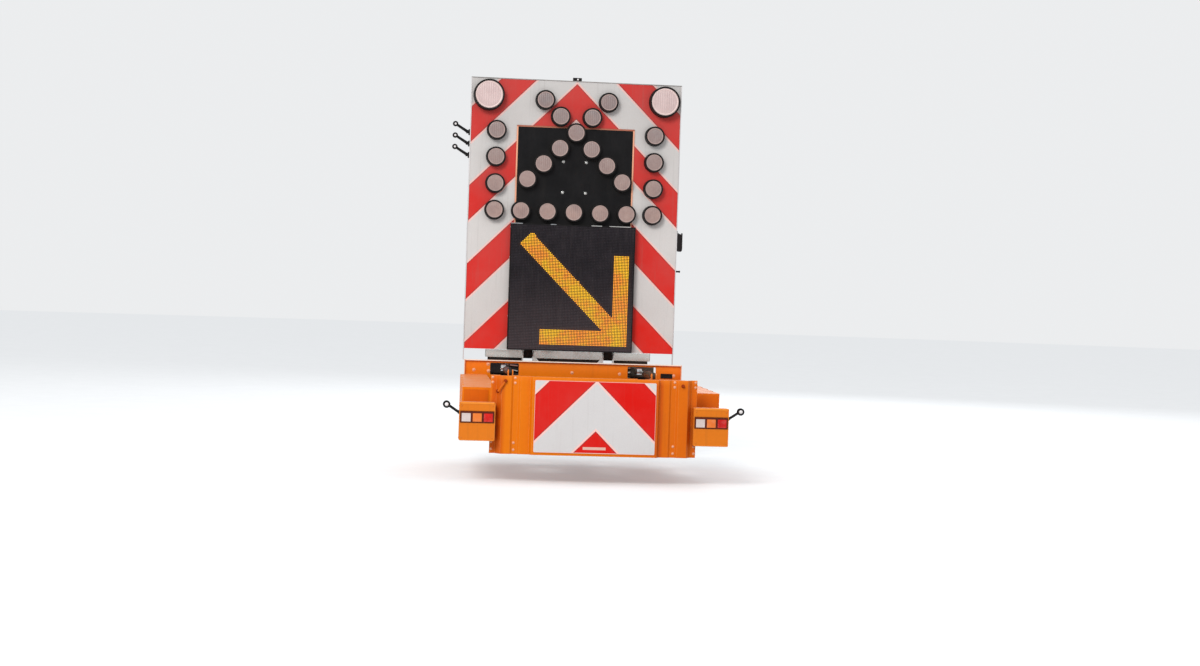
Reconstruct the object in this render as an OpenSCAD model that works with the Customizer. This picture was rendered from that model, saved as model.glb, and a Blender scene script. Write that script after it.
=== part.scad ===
// Truck-mounted warning board with a crash cushion.
// X runs across the road, Y towards the truck, Z up. Heights are given above the road.
// The origin is the centre of the face that bolts to the truck's chassis.

/* [Mounting] */
// Height of the mounting face's centre above the road
mount_height = 820; // [800:5:840]
// Width of the mounting plate
mount_w = 1760; // [1700:10:1800]
// Height of the mounting plate
mount_h = 400; // [390:5:420]
// Thickness of the mounting plate
mount_t = 25; // [20:1:32]
// Radius of the mounting plate's corners
mount_corner = 25; // [10:5:40]
// Distance between the outer bolt columns
bolt_outer_w = 860; // [840:10:900]
// Distance between the inner bolt columns
bolt_inner_w = 520; // [440:10:560]
// Distance between the bolt rows
bolt_rows = 210; // [180:5:220]
// Height of the bolt rows' middle below the face's centre
bolt_drop = 45; // [40:1:55]
// Radius of the mounting bolt holes
bolt_hole_r = 11; // [9:0.5:13]

/* [Base frame] */
// How far the cross beam's ends stand out past the mounting plate
crossbeam_over = 20; // [10:5:40]
// Depth of the cross beam along the truck
crossbeam_d = 120; // [110:5:130]
// Height of the cross beam's section
crossbeam_h = 115; // [100:1:115]
// Height of the cross beam's top above the road
crossbeam_top = 1010; // [1005:1:1015]
// Wall of the cross beam
crossbeam_wall = 8; // [5:1:12]
// Distance from the middle to each base arm's centre
arm_x = 560; // [555:1:565]
// Width of a base arm
arm_w = 100; // [90:2:102]
// Height of a base arm
arm_h = 150; // [130:5:155]
// Wall of a base arm's box section
arm_wall = 12; // [8:1:16]
// Thickness of the plates under the base arms
gusset_t = 20; // [12:1:40]
// Length of the plates under the base arms
gusset_l = 300; // [200:5:400]
// Depth of the plates under the base arms
gusset_h = 115; // [80:5:120]
// Depth of those plates at their rear tip
gusset_tip = 15; // [5:1:25]

/* [Board hinge] */
// Distance from the middle to each board hinge
hinge_x = 420; // [400:5:440]
// Height of the board hinge above the road
hinge_height = 1095; // [1090:1:1100]
// Distance of the board hinge behind the mounting face
hinge_back = 60; // [58:1:64]
// Gap between the two cheeks of a hinge
cheek_gap = 100; // [90:2:110]
// Thickness of a hinge cheek
cheek_t = 12; // [10:1:16]
// Radius of a cheek's round top
cheek_r = 50; // [46:1:52]
// Width of the web plate beside each inner cheek
web_w = 62; // [40:1:80]
// Height of the web plate
web_h = 76; // [50:1:84]
// Thickness of the web plate
web_t = 8; // [6:1:9]
// Radius of the board hinge pins
board_pin_r = 20; // [16:1:24]
// Side of the square hinge beam
hinge_beam_s = 80; // [70:2:82]
// Wall of the hinge beam
hinge_beam_wall = 6; // [4:1:8]
// Length of the hinge beam from end to end
hinge_beam_l = 1720; // [1500:20:1780]
// How far a board hinge pin's head stands round the pin
board_pin_head = 8; // [5:1:10]
// Thickness of a hinge pin's head
pin_head_t = 7; // [4:1:9]

/* [Board] */
// Width of the board
board_w = 2200; // [2100:10:2300]
// Height of the board
board_h = 2810; // [2760:10:2860]
// Height of the board's lower edge above the road
board_bottom = 1140; // [1138:1:1145]
// Distance of the board's striped face behind the mounting face
board_back = 150; // [148:1:156]
// Thickness of the board's sheet
sheet_t = 4; // [2:0.5:5]
// Face width of the edge frame's tubes
frame_w = 50; // [40:2:60]
// Depth of the edge frame and the crossbars
frame_d = 40; // [36:1:42]
// Wall of the frame profiles
frame_wall = 4; // [3:0.5:6]
// Width of the edge frame's lip over the sheet
lip_w = 9; // [6:1:14]
// Thickness of the edge frame's lip
lip_t = 3; // [2:0.5:4]
// How far the side frames' outer walls run below the sheet
frame_drop = 120; // [80:5:120]
// Height of a crossbar's section
crossbar_h = 60; // [50:2:70]
// Number of crossbars behind the sheet
crossbars = 4; // [3:1:5]
// Width of an upright
upright_w = 80; // [60:2:84]
// Depth of an upright
upright_d = 60; // [50:2:64]
// Wall of an upright
upright_wall = 5; // [3:0.5:8]
// Height of the hinge arms along the uprights, above the board's lower edge
arm_rise = 280; // [200:10:360]
// How far an arm's knuckle stays inside the cheeks' round tops
knuckle_inset = 5; // [3:1:8]

/* [Display] */
// Width of the display housing
display_w = 1300; // [1240:10:1360]
// Depth of the display housing
display_d = 80; // [50:2:110]
// Width of the rim round the display's face
display_rim = 10; // [6:1:20]
// Thickness of the display's face
display_face_t = 6; // [4:1:10]
// Radius of the display housing's corners
display_corner = 12; // [5:1:25]

/* [Lamps] */
// Width of the black lamp panel
panel_w = 1200; // [1160:10:1240]
// Height of the black lamp panel
panel_h = 1005; // [980:5:1030]
// Thickness of the black lamp panel
panel_t = 6; // [4:1:8]
// Width of the strips round the lamp panel
trim_w = 15; // [8:1:20]
// How far the strips stand out behind the lamp panel
trim_step = 2; // [1:0.5:4]
// Distance from the board's top edge to the lamp where the arrow's lines cross
arrow_drop = 542; // [520:2:560]
// Spacing of the lamps in the rows and columns
lamp_pitch = 275; // [260:1:280]
// Spacing of the lamps along the slanted lines, both across and up
lamp_slant = 165; // [155:1:170]
// Distance from the display housing up to the lowest lamp row
lamp_row_rise = 133; // [125:1:140]
// Outer radius of a small lamp
lamp_r = 100; // [90:1:104]
// Wall of a small lamp's hood
lamp_wall = 11; // [6:1:14]
// Depth of a small lamp
lamp_d = 70; // [55:1:90]
// Depth of a small lamp's lens seat below the hood's edge
lens_seat = 28; // [20:1:32]
// Thickness of a small lamp's lens at its edge
lamp_lens_edge = 8; // [5:1:10]
// Rise of a small lamp's lens to its middle
lamp_lens_dome = 14; // [8:1:18]
// Outer radius of a large flasher
flasher_r = 158; // [150:1:165]
// Wall of a large flasher's hood
flasher_wall = 12; // [8:1:16]
// Depth of a large flasher
flasher_d = 100; // [80:2:120]
// Depth of a flasher's lens seat below the hood's edge
flasher_seat = 40; // [30:1:45]
// Thickness of a flasher's lens at its edge
flasher_lens_edge = 10; // [6:1:14]
// Rise of a flasher's lens to its middle
flasher_lens_dome = 22; // [12:1:28]
// Distance from the board's side edge to a large flasher's centre
flasher_side = 184; // [180:1:200]
// Distance from the board's top edge to a large flasher's centre
flasher_drop = 183; // [180:1:200]
// Chamfer round a lamp hood's edge
hood_chamfer = 3; // [1:0.5:5]

/* [Board fittings] */
// Width of the light sensor on the top edge
sensor_w = 90; // [60:2:120]
// Height of the light sensor
sensor_h = 36; // [28:1:50]
// Height of the lowest eye arm's root above the board's lower edge
eye_arm_v = 2000; // [1950:5:2050]
// Spacing of the eye arms
eye_arm_pitch = 118; // [105:1:130]
// Reach of an eye arm to the side
eye_arm_reach = 150; // [120:2:180]
// Rise of an eye arm
eye_arm_rise = 82; // [60:1:100]
// Radius of an eye arm's rod
eye_arm_r = 7.5; // [6:0.5:8]
// Radius of the boss at an eye arm's root
eye_boss_r = 14; // [13.5:0.5:14.5]
// Length of the boss at an eye arm's root
eye_boss_l = 26; // [20:1:40]
// Depth of an eye arm's rod in its boss
eye_rod_in = 5; // [5:0.5:7]
// Radius of the eye's centre line
eye_r = 19; // [15:1:24]
// Radius of the eye's own section
eye_ring_r = 9.5; // [9:0.5:11]
// Thickness of an eye arm's root pad
eye_pad_t = 12; // [8:1:16]
// Width of an eye arm's root pad
eye_pad_w = 30; // [24:1:34]
// Height of an eye arm's root pad
eye_pad_h = 60; // [50:2:80]
// Height of the side latch's middle above the board's lower edge
latch_v = 1187; // [1100:5:1250]
// Length of the side latch
latch_l = 210; // [160:5:240]
// How far the side latch stands out
latch_out = 44; // [30:1:50]
// Thickness of the latch's base plate
latch_base_t = 6; // [4:1:8]
// Distance from the ends of the latch's base plate to its body
latch_end = 28; // [20:1:40]
// Side gap between the latch and the edge frame's faces
latch_inset = 4; // [2:1:8]

/* [Cushion pivot] */
// Height of the cushion's pivot above the road
pivot_height = 820; // [815:1:825]
// Distance of the cushion's pivot behind the mounting face
pivot_back = 500; // [490:1:510]
// Distance from the cushion's pivot back to the front plate
front_gap = 190; // [180:1:200]
// Radius of the cushion's pivot pins
pivot_pin_r = 30; // [24:1:36]
// How far a pivot pin's head stands round the pin
pivot_pin_head = 10; // [6:1:14]
// Radius of the cushion's lugs round the pivot
lug_r = 60; // [50:1:70]
// Thickness of a cushion lug
lug_t = 15; // [12:1:18]
// How far a lug's root spreads past its round end
lug_spread = 12; // [5:1:14]
// Gap between an arm and the lug beside it
lug_gap = 7; // [5:0.5:8]

/* [Cushion] */
// Width of the front plate
front_w = 2200; // [2100:10:2300]
// Thickness of the front plate
front_t = 15; // [10:1:20]
// Height of the front plate's top above the road
front_top = 1044; // [1040:1:1050]
// Height of the front plate's lower edge above the road
front_bottom = 300; // [260:10:380]
// Depth of the flanges along the front plate's top and lower edge
flange_d = 24; // [20:2:60]
// Thickness of those flanges
flange_t = 8; // [5:1:12]
// Distance from the middle to the inner stiffeners of the front plate
stiffener_in = 250; // [150:10:350]
// Distance from the middle to the outer stiffeners of the front plate
stiffener_out = 860; // [860:5:870]
// Depth of the front plate's stiffeners
stiffener_d = 50; // [30:2:60]
// Thickness of the front plate's stiffeners
stiffener_t = 10; // [6:1:14]
// Distance from the middle to the windows of the front plate
window_in = 555; // [545:5:600]
// Width of those windows
window_w = 290; // [240:5:290]
// Height of the windows' top above the road
window_top = 1015; // [1012:1:1025]
// Height of the windows
window_h = 120; // [100:5:125]
// Radius of the windows' corners
window_corner = 12; // [5:1:20]
// Length of the side beams
beam_l = 1795; // [1700:5:1900]
// Width of a side beam at its rear end
beam_w = 320; // [300:5:325]
// Distance from the middle to a side beam's outer face at the front
beam_front_x = 1145; // [1120:5:1180]
// How far a side beam's inner face lies inside the rear plate's edge
beam_lap = 70; // [60:2:80]
// Height of a side beam's top above the road, at the front
beam_top = 892; // [880:1:900]
// Height of a side beam's top above the road, at the rear
beam_top_rear = 848; // [840:1:860]
// Height of a side beam's lower edge above the road
beam_bottom = 400; // [380:5:420]
// Wall of a side beam
beam_wall = 5; // [3:0.5:8]
// Number of crush beads along a side beam
beads = 6; // [4:1:8]
// Depth of a crush bead
bead_d = 22; // [12:1:30]
// Width of a crush bead's floor
bead_w = 60; // [30:2:80]
// Thickness of the cross plates between the side beams
cross_t = 15; // [8:1:20]
// Height of the cross plates' top above the road
cross_top = 790; // [770:5:795]
// Height of the cross plates' lower edge above the road
cross_bottom = 420; // [400:5:440]
// Radius of the holes in the cross plates
cross_hole_r = 60; // [40:2:80]
// Width and height of an absorber tube
absorber_s = 300; // [260:5:310]
// Distance from the middle to an absorber's centre
absorber_x = 300; // [260:5:360]
// Wall of an absorber tube
absorber_wall = 4; // [2:0.5:8]

/* [Rear plate] */
// Distance from the side beams' ends back to the rear plate's face
rear_gap = 350; // [320:5:380]
// Width of the rear plate
rear_w = 1900; // [1880:5:1920]
// Height of the rear plate's top above the road
rear_top = 973; // [965:1:980]
// Height of the rear plate's lower edge above the road
rear_bottom = 262; // [250:1:280]
// Thickness of the rear plate
rear_t = 8; // [5:1:10]
// Depth of the flanges along the rear plate's top and lower edge
rear_flange_d = 30; // [20:2:40]
// How far the rear plate's wings are set forward of its middle
wing_step = 115; // [90:5:130]
// Width of a rear plate's wing
wing_w = 52; // [40:2:60]
// Width of the slope behind each wing
wing_slope = 43; // [30:1:60]
// Depth of the wide channel beside the middle
channel_d = 45; // [30:1:60]
// Depth of the narrow groove in that channel, from the middle's face
groove_d = 62; // [55:1:90]
// Width of the narrow groove's floor
groove_w = 45; // [30:1:60]
// Width of the slopes of the channel and the groove
fold_slope = 20; // [10:1:30]
// Thickness of the ribs in front of the rear plate
rib_t = 10; // [6:1:14]
// Distance from the cross plates' edges to the top and lowest rib
rib_inset = 30; // [20:2:60]
// Width of the chevron panel
chevron_w = 1110; // [1080:5:1140]
// Height of the chevron panel
chevron_h = 656; // [620:2:670]
// Distance from the rear plate's top to the chevron panel
chevron_drop = 30; // [20:1:40]
// Thickness of the chevron panel
chevron_t = 6; // [3:1:8]
// Radius of the chevron panel's corners
chevron_corner = 12; // [4:1:20]
// Distance from the chevron panel to the first fold of the rear plate
middle_margin = 20; // [10:1:30]

/* [Rear lights] */
// How far a lamp box's inner side lies inside the rear plate's edge
lightbox_lap = 40; // [30:1:48]
// Width of a lamp box
lightbox_w = 324; // [318:1:340]
// Height of a lamp box
lightbox_h = 350; // [320:5:370]
// Height of a lamp box's top above the road
lightbox_top = 728; // [700:1:740]
// Depth of a lamp box
lightbox_d = 100; // [80:1:105]
// Radius of a lamp box's corners
lightbox_corner = 12; // [5:1:20]
// Depth of the recess that the lenses stand in
recess_d = 6; // [4:1:10]
// Width of the recess's border round the lenses
recess_border = 8; // [5:1:10]
// Width of the bracket tube that carries a lamp box
bracket_w = 200; // [160:5:220]
// Height of that bracket tube
bracket_h = 140; // [100:5:160]
// Wall of that bracket tube
bracket_wall = 6; // [4:1:10]
// Distance from a lamp box's top to its bracket tube
bracket_drop = 20; // [10:1:40]
// Side of a square lens
lens_s = 94; // [88:1:98]
// Radius of a square lens's corners
lens_corner = 6; // [3:1:10]
// Spacing of the lenses
lens_pitch = 100; // [98:1:105]
// Height of the lenses' middle above the road
lens_height = 593; // [570:1:600]
// Thickness of a lens
lens_t = 14; // [10:1:18]
// Height of a marker arm's root below the lamp box's top
marker_drop = 96; // [70:1:110]
// Reach of a marker arm to the side
marker_reach = 116; // [100:1:150]
// Rise of a marker arm
marker_rise = 68; // [40:1:90]
// Radius of a marker arm
marker_arm_r = 12; // [8:0.5:13]
// Radius of a marker arm's root collar
marker_collar_r = 17; // [13:1:22]
// Thickness of the root collar
marker_collar_t = 12; // [8:1:20]
// Radius of a marker's round head
marker_head_r = 34; // [30:1:40]
// Thickness of a marker's head
marker_head_t = 32; // [24:1:40]
// Radius of a marker's lens
marker_r = 17; // [14:1:24]
// Rise of a marker's lens to its middle
marker_dome = 8; // [4:1:12]

/* [Fold cylinders] */
// Distance from the middle to a fold cylinder
ram_x = 700; // [695:1:705]
// Height of a fold cylinder above the pivot
ram_rise = 140; // [130:1:145]
// Distance of a barrel's pivot behind the cushion's pivot
ram_l = 1100; // [1090:1:1110]
// Outer radius of a barrel
barrel_r = 35; // [28:1:38]
// Length of a barrel from its pivot to its mouth
barrel_l = 550; // [500:5:600]
// Distance from a barrel's pivot to the barrel's closed end
barrel_neck = 50; // [42:1:60]
// Thickness of a barrel's closed end, up to the rod's bore
barrel_end = 150; // [120:5:200]
// Length of the collar at a barrel's mouth
collar_l = 40; // [30:1:60]
// How far the collar stands round the barrel
collar_step = 4; // [2:0.5:6]
// Radius of the oil ports on a barrel
port_r = 10; // [7:0.5:12]
// How far the oil ports stand out of a barrel
port_out = 12; // [6:1:16]
// Distance from the ends of a barrel to its oil ports
port_inset = 45; // [30:1:60]
// Radius of a rod
rod_r = 16; // [12:1:20]
// Length of a rod inside the barrel at rest
rod_tail = 150; // [140:5:200]
// Radius of a rod's eye
rod_eye_r = 32; // [26:1:34]
// Width of a rod's eye
rod_eye_w = 50; // [40:1:54]
// Gap between a rod's eye and the anchor arm beside it
rod_gap = 5; // [5:0.5:6]
// Radius of the fold cylinders' pins
ram_pin_r = 12.5; // [10:0.5:15]
// Thickness of an anchor arm
anchor_t = 15; // [12:1:20]
// Distance from the cross beam's edges to an anchor arm's root
anchor_inset = 8; // [5:1:15]
// Side clearance of the slots that the rods pass through
slot_side = 24; // [20:1:30]
// Clearance above and below the rods in those slots
slot_rise = 34; // [28:1:45]
// Width of a barrel's eye
barrel_eye_w = 28.6; // [24:0.2:32]
// Radius of a barrel's eye
barrel_eye_r = 25; // [20:1:28]
// Thickness of a barrel bracket's foot
foot_t = 10; // [6:1:14]
// Width of a barrel bracket's foot
foot_w = 76; // [70:2:90]
// Length of a barrel bracket's foot
foot_l = 100; // [90:5:120]
// Thickness of a barrel bracket's ears
ear_t = 10; // [8:1:14]
// Gap between a barrel's eye and the ears
ear_gap = 1.7; // [1:0.1:3]
// How far a barrel's pin stands out of the ears
ear_pin_out = 4; // [2:1:6]

/* [Clearances] */
// Radial clearance of a pin in its bore
pin_clear = 0.3; // [0.1:0.05:0.5]
// Gap where a lens, cap or sleeve sits in its seat
seat_clear = 0.3; // [0.2:0.05:0.5]
// Side gap between parts that turn past each other
turn_clear = 6; // [5:0.5:8]
// How far a neck is set in from the round eye that it carries
neck_inset = 5; // [3:0.5:8]

/* [Hidden] */
$fn = 48;

// Where the pieces lie along the truck, measured from the mounting face
board_y = -board_back;
sheet_front_y = board_y + sheet_t;
frame_front_y = sheet_front_y + frame_d;
upright_front_y = frame_front_y + upright_d;
panel_y = board_y - panel_t;
hinge_y = -hinge_back;
crossbeam_rear_y = -mount_t - crossbeam_d;
pivot_y = -pivot_back;
front_y = pivot_y - front_gap;
beam_front_y = front_y - front_t;
beam_rear_y = beam_front_y - beam_l;
rear_y = beam_rear_y - rear_gap;
lightbox_front_y = rear_y + lightbox_d;
ram_y = pivot_y - ram_l;
mid_cross_y = ram_y;

// Heights on the board, above its lower edge
lamp_apex_v = board_h - arrow_drop;
lamp_row_v = lamp_apex_v - 3 * lamp_pitch;
display_h = lamp_row_v - lamp_row_rise;
flasher_v = board_h - flasher_drop;

// Heights above the road
board_top = board_bottom + board_h;
panel_bottom = board_bottom + display_h;
panel_top = panel_bottom + panel_h;
crossbar_high = board_top - frame_w - crossbar_h;
arm_top = board_bottom + arm_rise;
ram_height = pivot_height + ram_rise;
chevron_top = rear_top - chevron_drop;
slot_low = pivot_height - rod_r - slot_side;
slot_high = ram_height + rod_r + slot_rise;

// Places across the truck
crossbeam_l = mount_w + 2 * crossbeam_over;
cheek_in = hinge_x - cheek_gap / 2 - cheek_t;
cheek_out = hinge_x + cheek_gap / 2 + cheek_t;
beam_in = rear_w / 2 - beam_lap;
beam_out = beam_in + beam_w;
lightbox_in = rear_w / 2 - lightbox_lap;
lightbox_out = lightbox_in + lightbox_w;
lightbox_mid = lightbox_in + lightbox_w / 2;
flasher_x = board_w / 2 - flasher_side;
slot_w = 2 * (rod_r + slot_side);

// Lamp centres on the board: across from the middle, and up from the lower edge
lamp_row = [for (i = [-3:3]) [i * lamp_pitch, lamp_row_v]];
lamp_columns = [for (side = [-1, 1], i = [1:3]) [side * 3 * lamp_pitch, lamp_row_v + i * lamp_pitch]];
lamp_down = [for (side = [-1, 1], i = [1:3]) [side * i * lamp_slant, lamp_apex_v - i * lamp_slant]];
lamp_up = [for (side = [-1, 1], i = [1:2]) [side * i * lamp_slant, lamp_apex_v + i * lamp_slant]];
lamp_spots = concat(lamp_row, lamp_columns, lamp_down, lamp_up, [[0, lamp_apex_v]]);

// Outline of the folded rear plate, as distance across and place along, from left to right
channel_x = chevron_w / 2 + middle_margin;
channel_end = rear_w / 2 - wing_w - wing_slope;
groove_x = (channel_x + fold_slope + channel_end) / 2;
fold_half = [[channel_x, 0], [channel_x + fold_slope, channel_d],
             [groove_x - groove_w / 2 - fold_slope, channel_d], [groove_x - groove_w / 2, groove_d],
             [groove_x + groove_w / 2, groove_d], [groove_x + groove_w / 2 + fold_slope, channel_d],
             [channel_end, channel_d], [rear_w / 2 - wing_w, wing_step], [rear_w / 2, wing_step]];
fold_rear = concat([for (i = [len(fold_half) - 1:-1:0]) [-fold_half[i][0], rear_y + fold_half[i][1]]],
                   [for (p = fold_half) [p[0], rear_y + p[1]]]);

function on_panel(spot) = abs(spot[0]) < panel_w / 2 && spot[1] < display_h + panel_h;
function narrowed(range, wall) = [range[0] + wall, range[1] - wall];
function widened(range) = [range[0] - 1, range[1] + 1];
function centred(middle, width) = [middle - width / 2, middle + width / 2];
function sided(side, range) = side > 0 ? range : [-range[1], -range[0]];
function fold_front(depth) = [for (i = [len(fold_rear) - 1:-1:0]) fold_rear[i] + [0, depth]];

// A box from its ranges across, along and in height above the road
module slab(x, y, h) {
    translate([x[0], y[0], h[0] - mount_height])
        cube([x[1] - x[0], y[1] - y[0], h[1] - h[0]]);
}

// A rectangular tube, open at both ends of the named direction
module tube(x, y, h, wall, along) {
    difference() {
        slab(x, y, h);
        slab(along == "x" ? widened(x) : narrowed(x, wall),
             along == "y" ? widened(y) : narrowed(y, wall),
             along == "h" ? widened(h) : narrowed(h, wall));
    }
}

// A round bar across the truck
module bar_across(x, y, h, r) {
    translate([x[0], y, h - mount_height])
        rotate([0, 90, 0])
            cylinder(r = r, h = x[1] - x[0]);
}

// A round bar along the truck
module bar_along(x, y, h, r) {
    translate([x, y[1], h - mount_height])
        rotate([90, 0, 0])
            cylinder(r = r, h = y[1] - y[0]);
}

// An outline of (along, height) points, as thick as its range across
module side_plate(x, points) {
    translate([x[0], 0, -mount_height])
        rotate([90, 0, 90])
            linear_extrude(x[1] - x[0])
                polygon(points);
}

// A flat outline of (across, height), as thick as its range along
module upright_plate(y) {
    translate([0, y[1], -mount_height])
        rotate([90, 0, 0])
            linear_extrude(y[1] - y[0])
                children();
}

// A flat outline of (across, along), as thick as its range in height
module level_plate(h) {
    translate([0, 0, h[0] - mount_height])
        linear_extrude(h[1] - h[0])
            children();
}

module rounded_outline(x, h, r) {
    translate([x[0] + r, h[0]])
        square([x[1] - x[0] - 2 * r, h[1] - h[0]]);
    translate([x[0], h[0] + r])
        square([x[1] - x[0], h[1] - h[0] - 2 * r]);
    for (a = narrowed(x, r), b = narrowed(h, r))
        translate([a, b])
            circle(r = r);
}

// A pin across the truck with a flat head at each end
module headed_pin(x, y, h, r, head) {
    bar_across(x, y, h, r);
    bar_across([x[0] - pin_head_t, x[0]], y, h, r + head);
    bar_across([x[1], x[1] + pin_head_t], y, h, r + head);
}

// Places a lamp on the board with its axis pointing back from the sheet
module on_board(u, v, y) {
    translate([u, y, board_bottom + v - mount_height])
        rotate([90, 0, 0])
            children();
}

module both_sides() {
    children();
    mirror([1, 0, 0])
        children();
}

// A round hood on a closed floor, with a chamfered edge
module lamp_hood(r, wall, depth, floor_t) {
    rotate_extrude()
        polygon([[0, 0], [r, 0], [r, depth - hood_chamfer], [r - hood_chamfer, depth],
                 [r - wall, depth], [r - wall, floor_t], [0, floor_t]]);
}

module domed_lens(r, edge_t, dome) {
    bands = 4;
    ball_r = (r * r + dome * dome) / (2 * dome);
    edge_angle = asin(r / ball_r);
    arc = [for (i = [0:bands]) let (a = edge_angle * (1 - i / bands))
           [ball_r * sin(a), edge_t + dome - ball_r * (1 - cos(a))]];
    rotate_extrude()
        polygon(concat([[0, 0], [r, 0]], arc));
}

// Base

module mount_plate() {
    rows = centred(mount_height - bolt_drop, bolt_rows);
    columns = concat(centred(0, bolt_outer_w), centred(0, bolt_inner_w));
    color("dimgray")
        difference() {
            upright_plate([-mount_t, 0])
                rounded_outline(centred(0, mount_w), centred(mount_height, mount_h), mount_corner);
            for (x = columns, h = rows)
                bar_along(x, widened([-mount_t, 0]), h, bolt_hole_r);
        }
}

module base_crossbeam() {
    color("silver")
        tube(centred(0, crossbeam_l), [crossbeam_rear_y, -mount_t],
             [crossbeam_top - crossbeam_h, crossbeam_top], crossbeam_wall, "x");
}

module base_arm(side) {
    x = centred(side * arm_x, arm_w);
    h = centred(pivot_height, arm_h);
    color("dimgray")
        difference() {
            union() {
                slab(x, [pivot_y, -mount_t], h);
                bar_across(x, pivot_y, pivot_height, arm_h / 2);
            }
            slab(narrowed(x, arm_wall), [pivot_y + arm_h / 2, 1 - mount_t], narrowed(h, arm_wall));
            bar_across(widened(x), pivot_y, pivot_height, pivot_pin_r + pin_clear);
        }
}

module base_arm_left() {
    base_arm(-1);
}

module base_arm_right() {
    base_arm(1);
}

module base_gussets() {
    top = pivot_height - arm_h / 2;
    tip_y = -mount_t - gusset_l;
    color("dimgray")
        both_sides()
            side_plate(centred(arm_x, gusset_t),
                       [[-mount_t, top], [tip_y, top], [tip_y, top - gusset_tip], [-mount_t, top - gusset_h]]);
}

module anchor_arms() {
    x1 = ram_x - rod_eye_w / 2 - rod_gap;
    x = [x1 - anchor_t, x1];
    root = narrowed([crossbeam_top - crossbeam_h, crossbeam_top], anchor_inset);
    color("dimgray")
        both_sides()
            difference() {
                union() {
                    side_plate(x, [[crossbeam_rear_y, root[0]], [crossbeam_rear_y, root[1]],
                                   [pivot_y, ram_height + rod_eye_r], [pivot_y, ram_height - rod_eye_r]]);
                    bar_across(x, pivot_y, ram_height, rod_eye_r);
                }
                bar_across(widened(x), pivot_y, ram_height, ram_pin_r + pin_clear);
            }
}

module hinge_cheeks() {
    rear = hinge_y - cheek_r;
    plate_top = max(crossbeam_top, mount_height + mount_h / 2);
    color("silver")
        both_sides() {
            for (x = [[cheek_in, cheek_in + cheek_t], [cheek_out - cheek_t, cheek_out]])
                difference() {
                    union() {
                        side_plate(x, [[rear, crossbeam_top], [-mount_t, crossbeam_top],
                                       [-mount_t, plate_top], [hinge_y + cheek_r, hinge_height],
                                       [rear, hinge_height]]);
                        bar_across(x, hinge_y, hinge_height, cheek_r);
                    }
                    bar_across(widened(x), hinge_y, hinge_height, board_pin_r + pin_clear);
                }
            upright_plate([rear, rear + web_t])
                polygon([[cheek_in, crossbeam_top], [cheek_in, crossbeam_top + web_h],
                         [cheek_in - web_w, crossbeam_top]]);
        }
}

module hinge_beam() {
    y = centred(hinge_y, hinge_beam_s);
    h = centred(hinge_height, hinge_beam_s);
    color("silver") {
        tube([-cheek_in, cheek_in], y, h, hinge_beam_wall, "x");
        both_sides()
            tube([cheek_out, hinge_beam_l / 2], y, h, hinge_beam_wall, "x");
    }
}

module hinge_pins() {
    lugs_w = arm_w + 2 * (lug_gap + lug_t);
    color("lightgray")
        both_sides() {
            headed_pin([cheek_in, cheek_out], hinge_y, hinge_height, board_pin_r, board_pin_head);
            headed_pin(centred(arm_x, lugs_w), pivot_y, pivot_height, pivot_pin_r, pivot_pin_head);
        }
}

// Board

module board_sheet() {
    edge = lip_t + seat_clear;
    color("white")
        slab(narrowed(centred(0, board_w), edge), [board_y, sheet_front_y], [board_bottom, board_top - edge]);
}

module edge_frame() {
    inner = board_w / 2 - frame_w;
    tubes_y = [sheet_front_y, frame_front_y];
    wall_y = [board_y - lip_t, sheet_front_y];
    lip_y = [board_y - lip_t, board_y];
    leg_y = [board_y - lip_t, frame_front_y];
    color("silver") {
        both_sides() {
            tube([inner, board_w / 2], tubes_y, [board_bottom, board_top], frame_wall, "h");
            slab([board_w / 2 - lip_t, board_w / 2], wall_y, [board_bottom, board_top]);
            slab([board_w / 2 - lip_w, board_w / 2], lip_y, [board_bottom, board_top]);
            slab([board_w / 2 - lip_w, board_w / 2], leg_y, [board_bottom - frame_drop, board_bottom]);
        }
        tube([-inner, inner], tubes_y, [board_top - frame_w, board_top], frame_wall, "x");
        slab(centred(0, board_w), wall_y, [board_top - lip_t, board_top]);
        slab(centred(0, board_w), lip_y, [board_top - lip_w, board_top]);
    }
}

module crossbars_back() {
    inner = board_w / 2 - frame_w;
    step = (crossbar_high - board_bottom) / (crossbars - 1);
    color("silver")
        for (i = [0:crossbars - 1]) {
            low = board_bottom + i * step;
            tube([-inner, inner], [sheet_front_y, frame_front_y], [low, low + crossbar_h], frame_wall, "x");
        }
}

module uprights() {
    color("silver")
        both_sides()
            tube(centred(hinge_x, upright_w), [frame_front_y, upright_front_y],
                 [arm_top, board_top - frame_w], upright_wall, "h");
}

module board_arms() {
    x = centred(hinge_x, cheek_gap - 2 * turn_clear);
    knuckle_r = cheek_r - knuckle_inset;
    neck = narrowed(centred(hinge_y, 2 * knuckle_r), neck_inset);
    color("dimgray")
        both_sides()
            difference() {
                union() {
                    bar_across(x, hinge_y, hinge_height, knuckle_r);
                    side_plate(x, [[neck[0], hinge_height], [frame_front_y, board_bottom],
                                   [frame_front_y, arm_top], [upright_front_y, arm_top],
                                   [upright_front_y, board_bottom], [neck[1], hinge_height]]);
                }
                bar_across(widened(x), hinge_y, hinge_height, board_pin_r + pin_clear);
            }
}

module lamp_panel() {
    color("black")
        slab(centred(0, panel_w), [panel_y, board_y], [panel_bottom, panel_top]);
}

module panel_trim() {
    y = [panel_y - trim_step, board_y];
    color("orange")
        difference() {
            union() {
                both_sides()
                    slab([panel_w / 2, panel_w / 2 + trim_w], y, [panel_bottom, panel_top + trim_w]);
                slab(centred(0, panel_w), y, [panel_top, panel_top + trim_w]);
            }
            for (spot = lamp_spots)
                on_board(spot[0], spot[1], board_y + 1)
                    cylinder(r = lamp_r + seat_clear, h = lamp_d);
        }
}

module display_housing() {
    color("black")
        upright_plate([board_y - display_d, board_y])
            rounded_outline(centred(0, display_w), [board_bottom, panel_bottom], display_corner);
}

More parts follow.
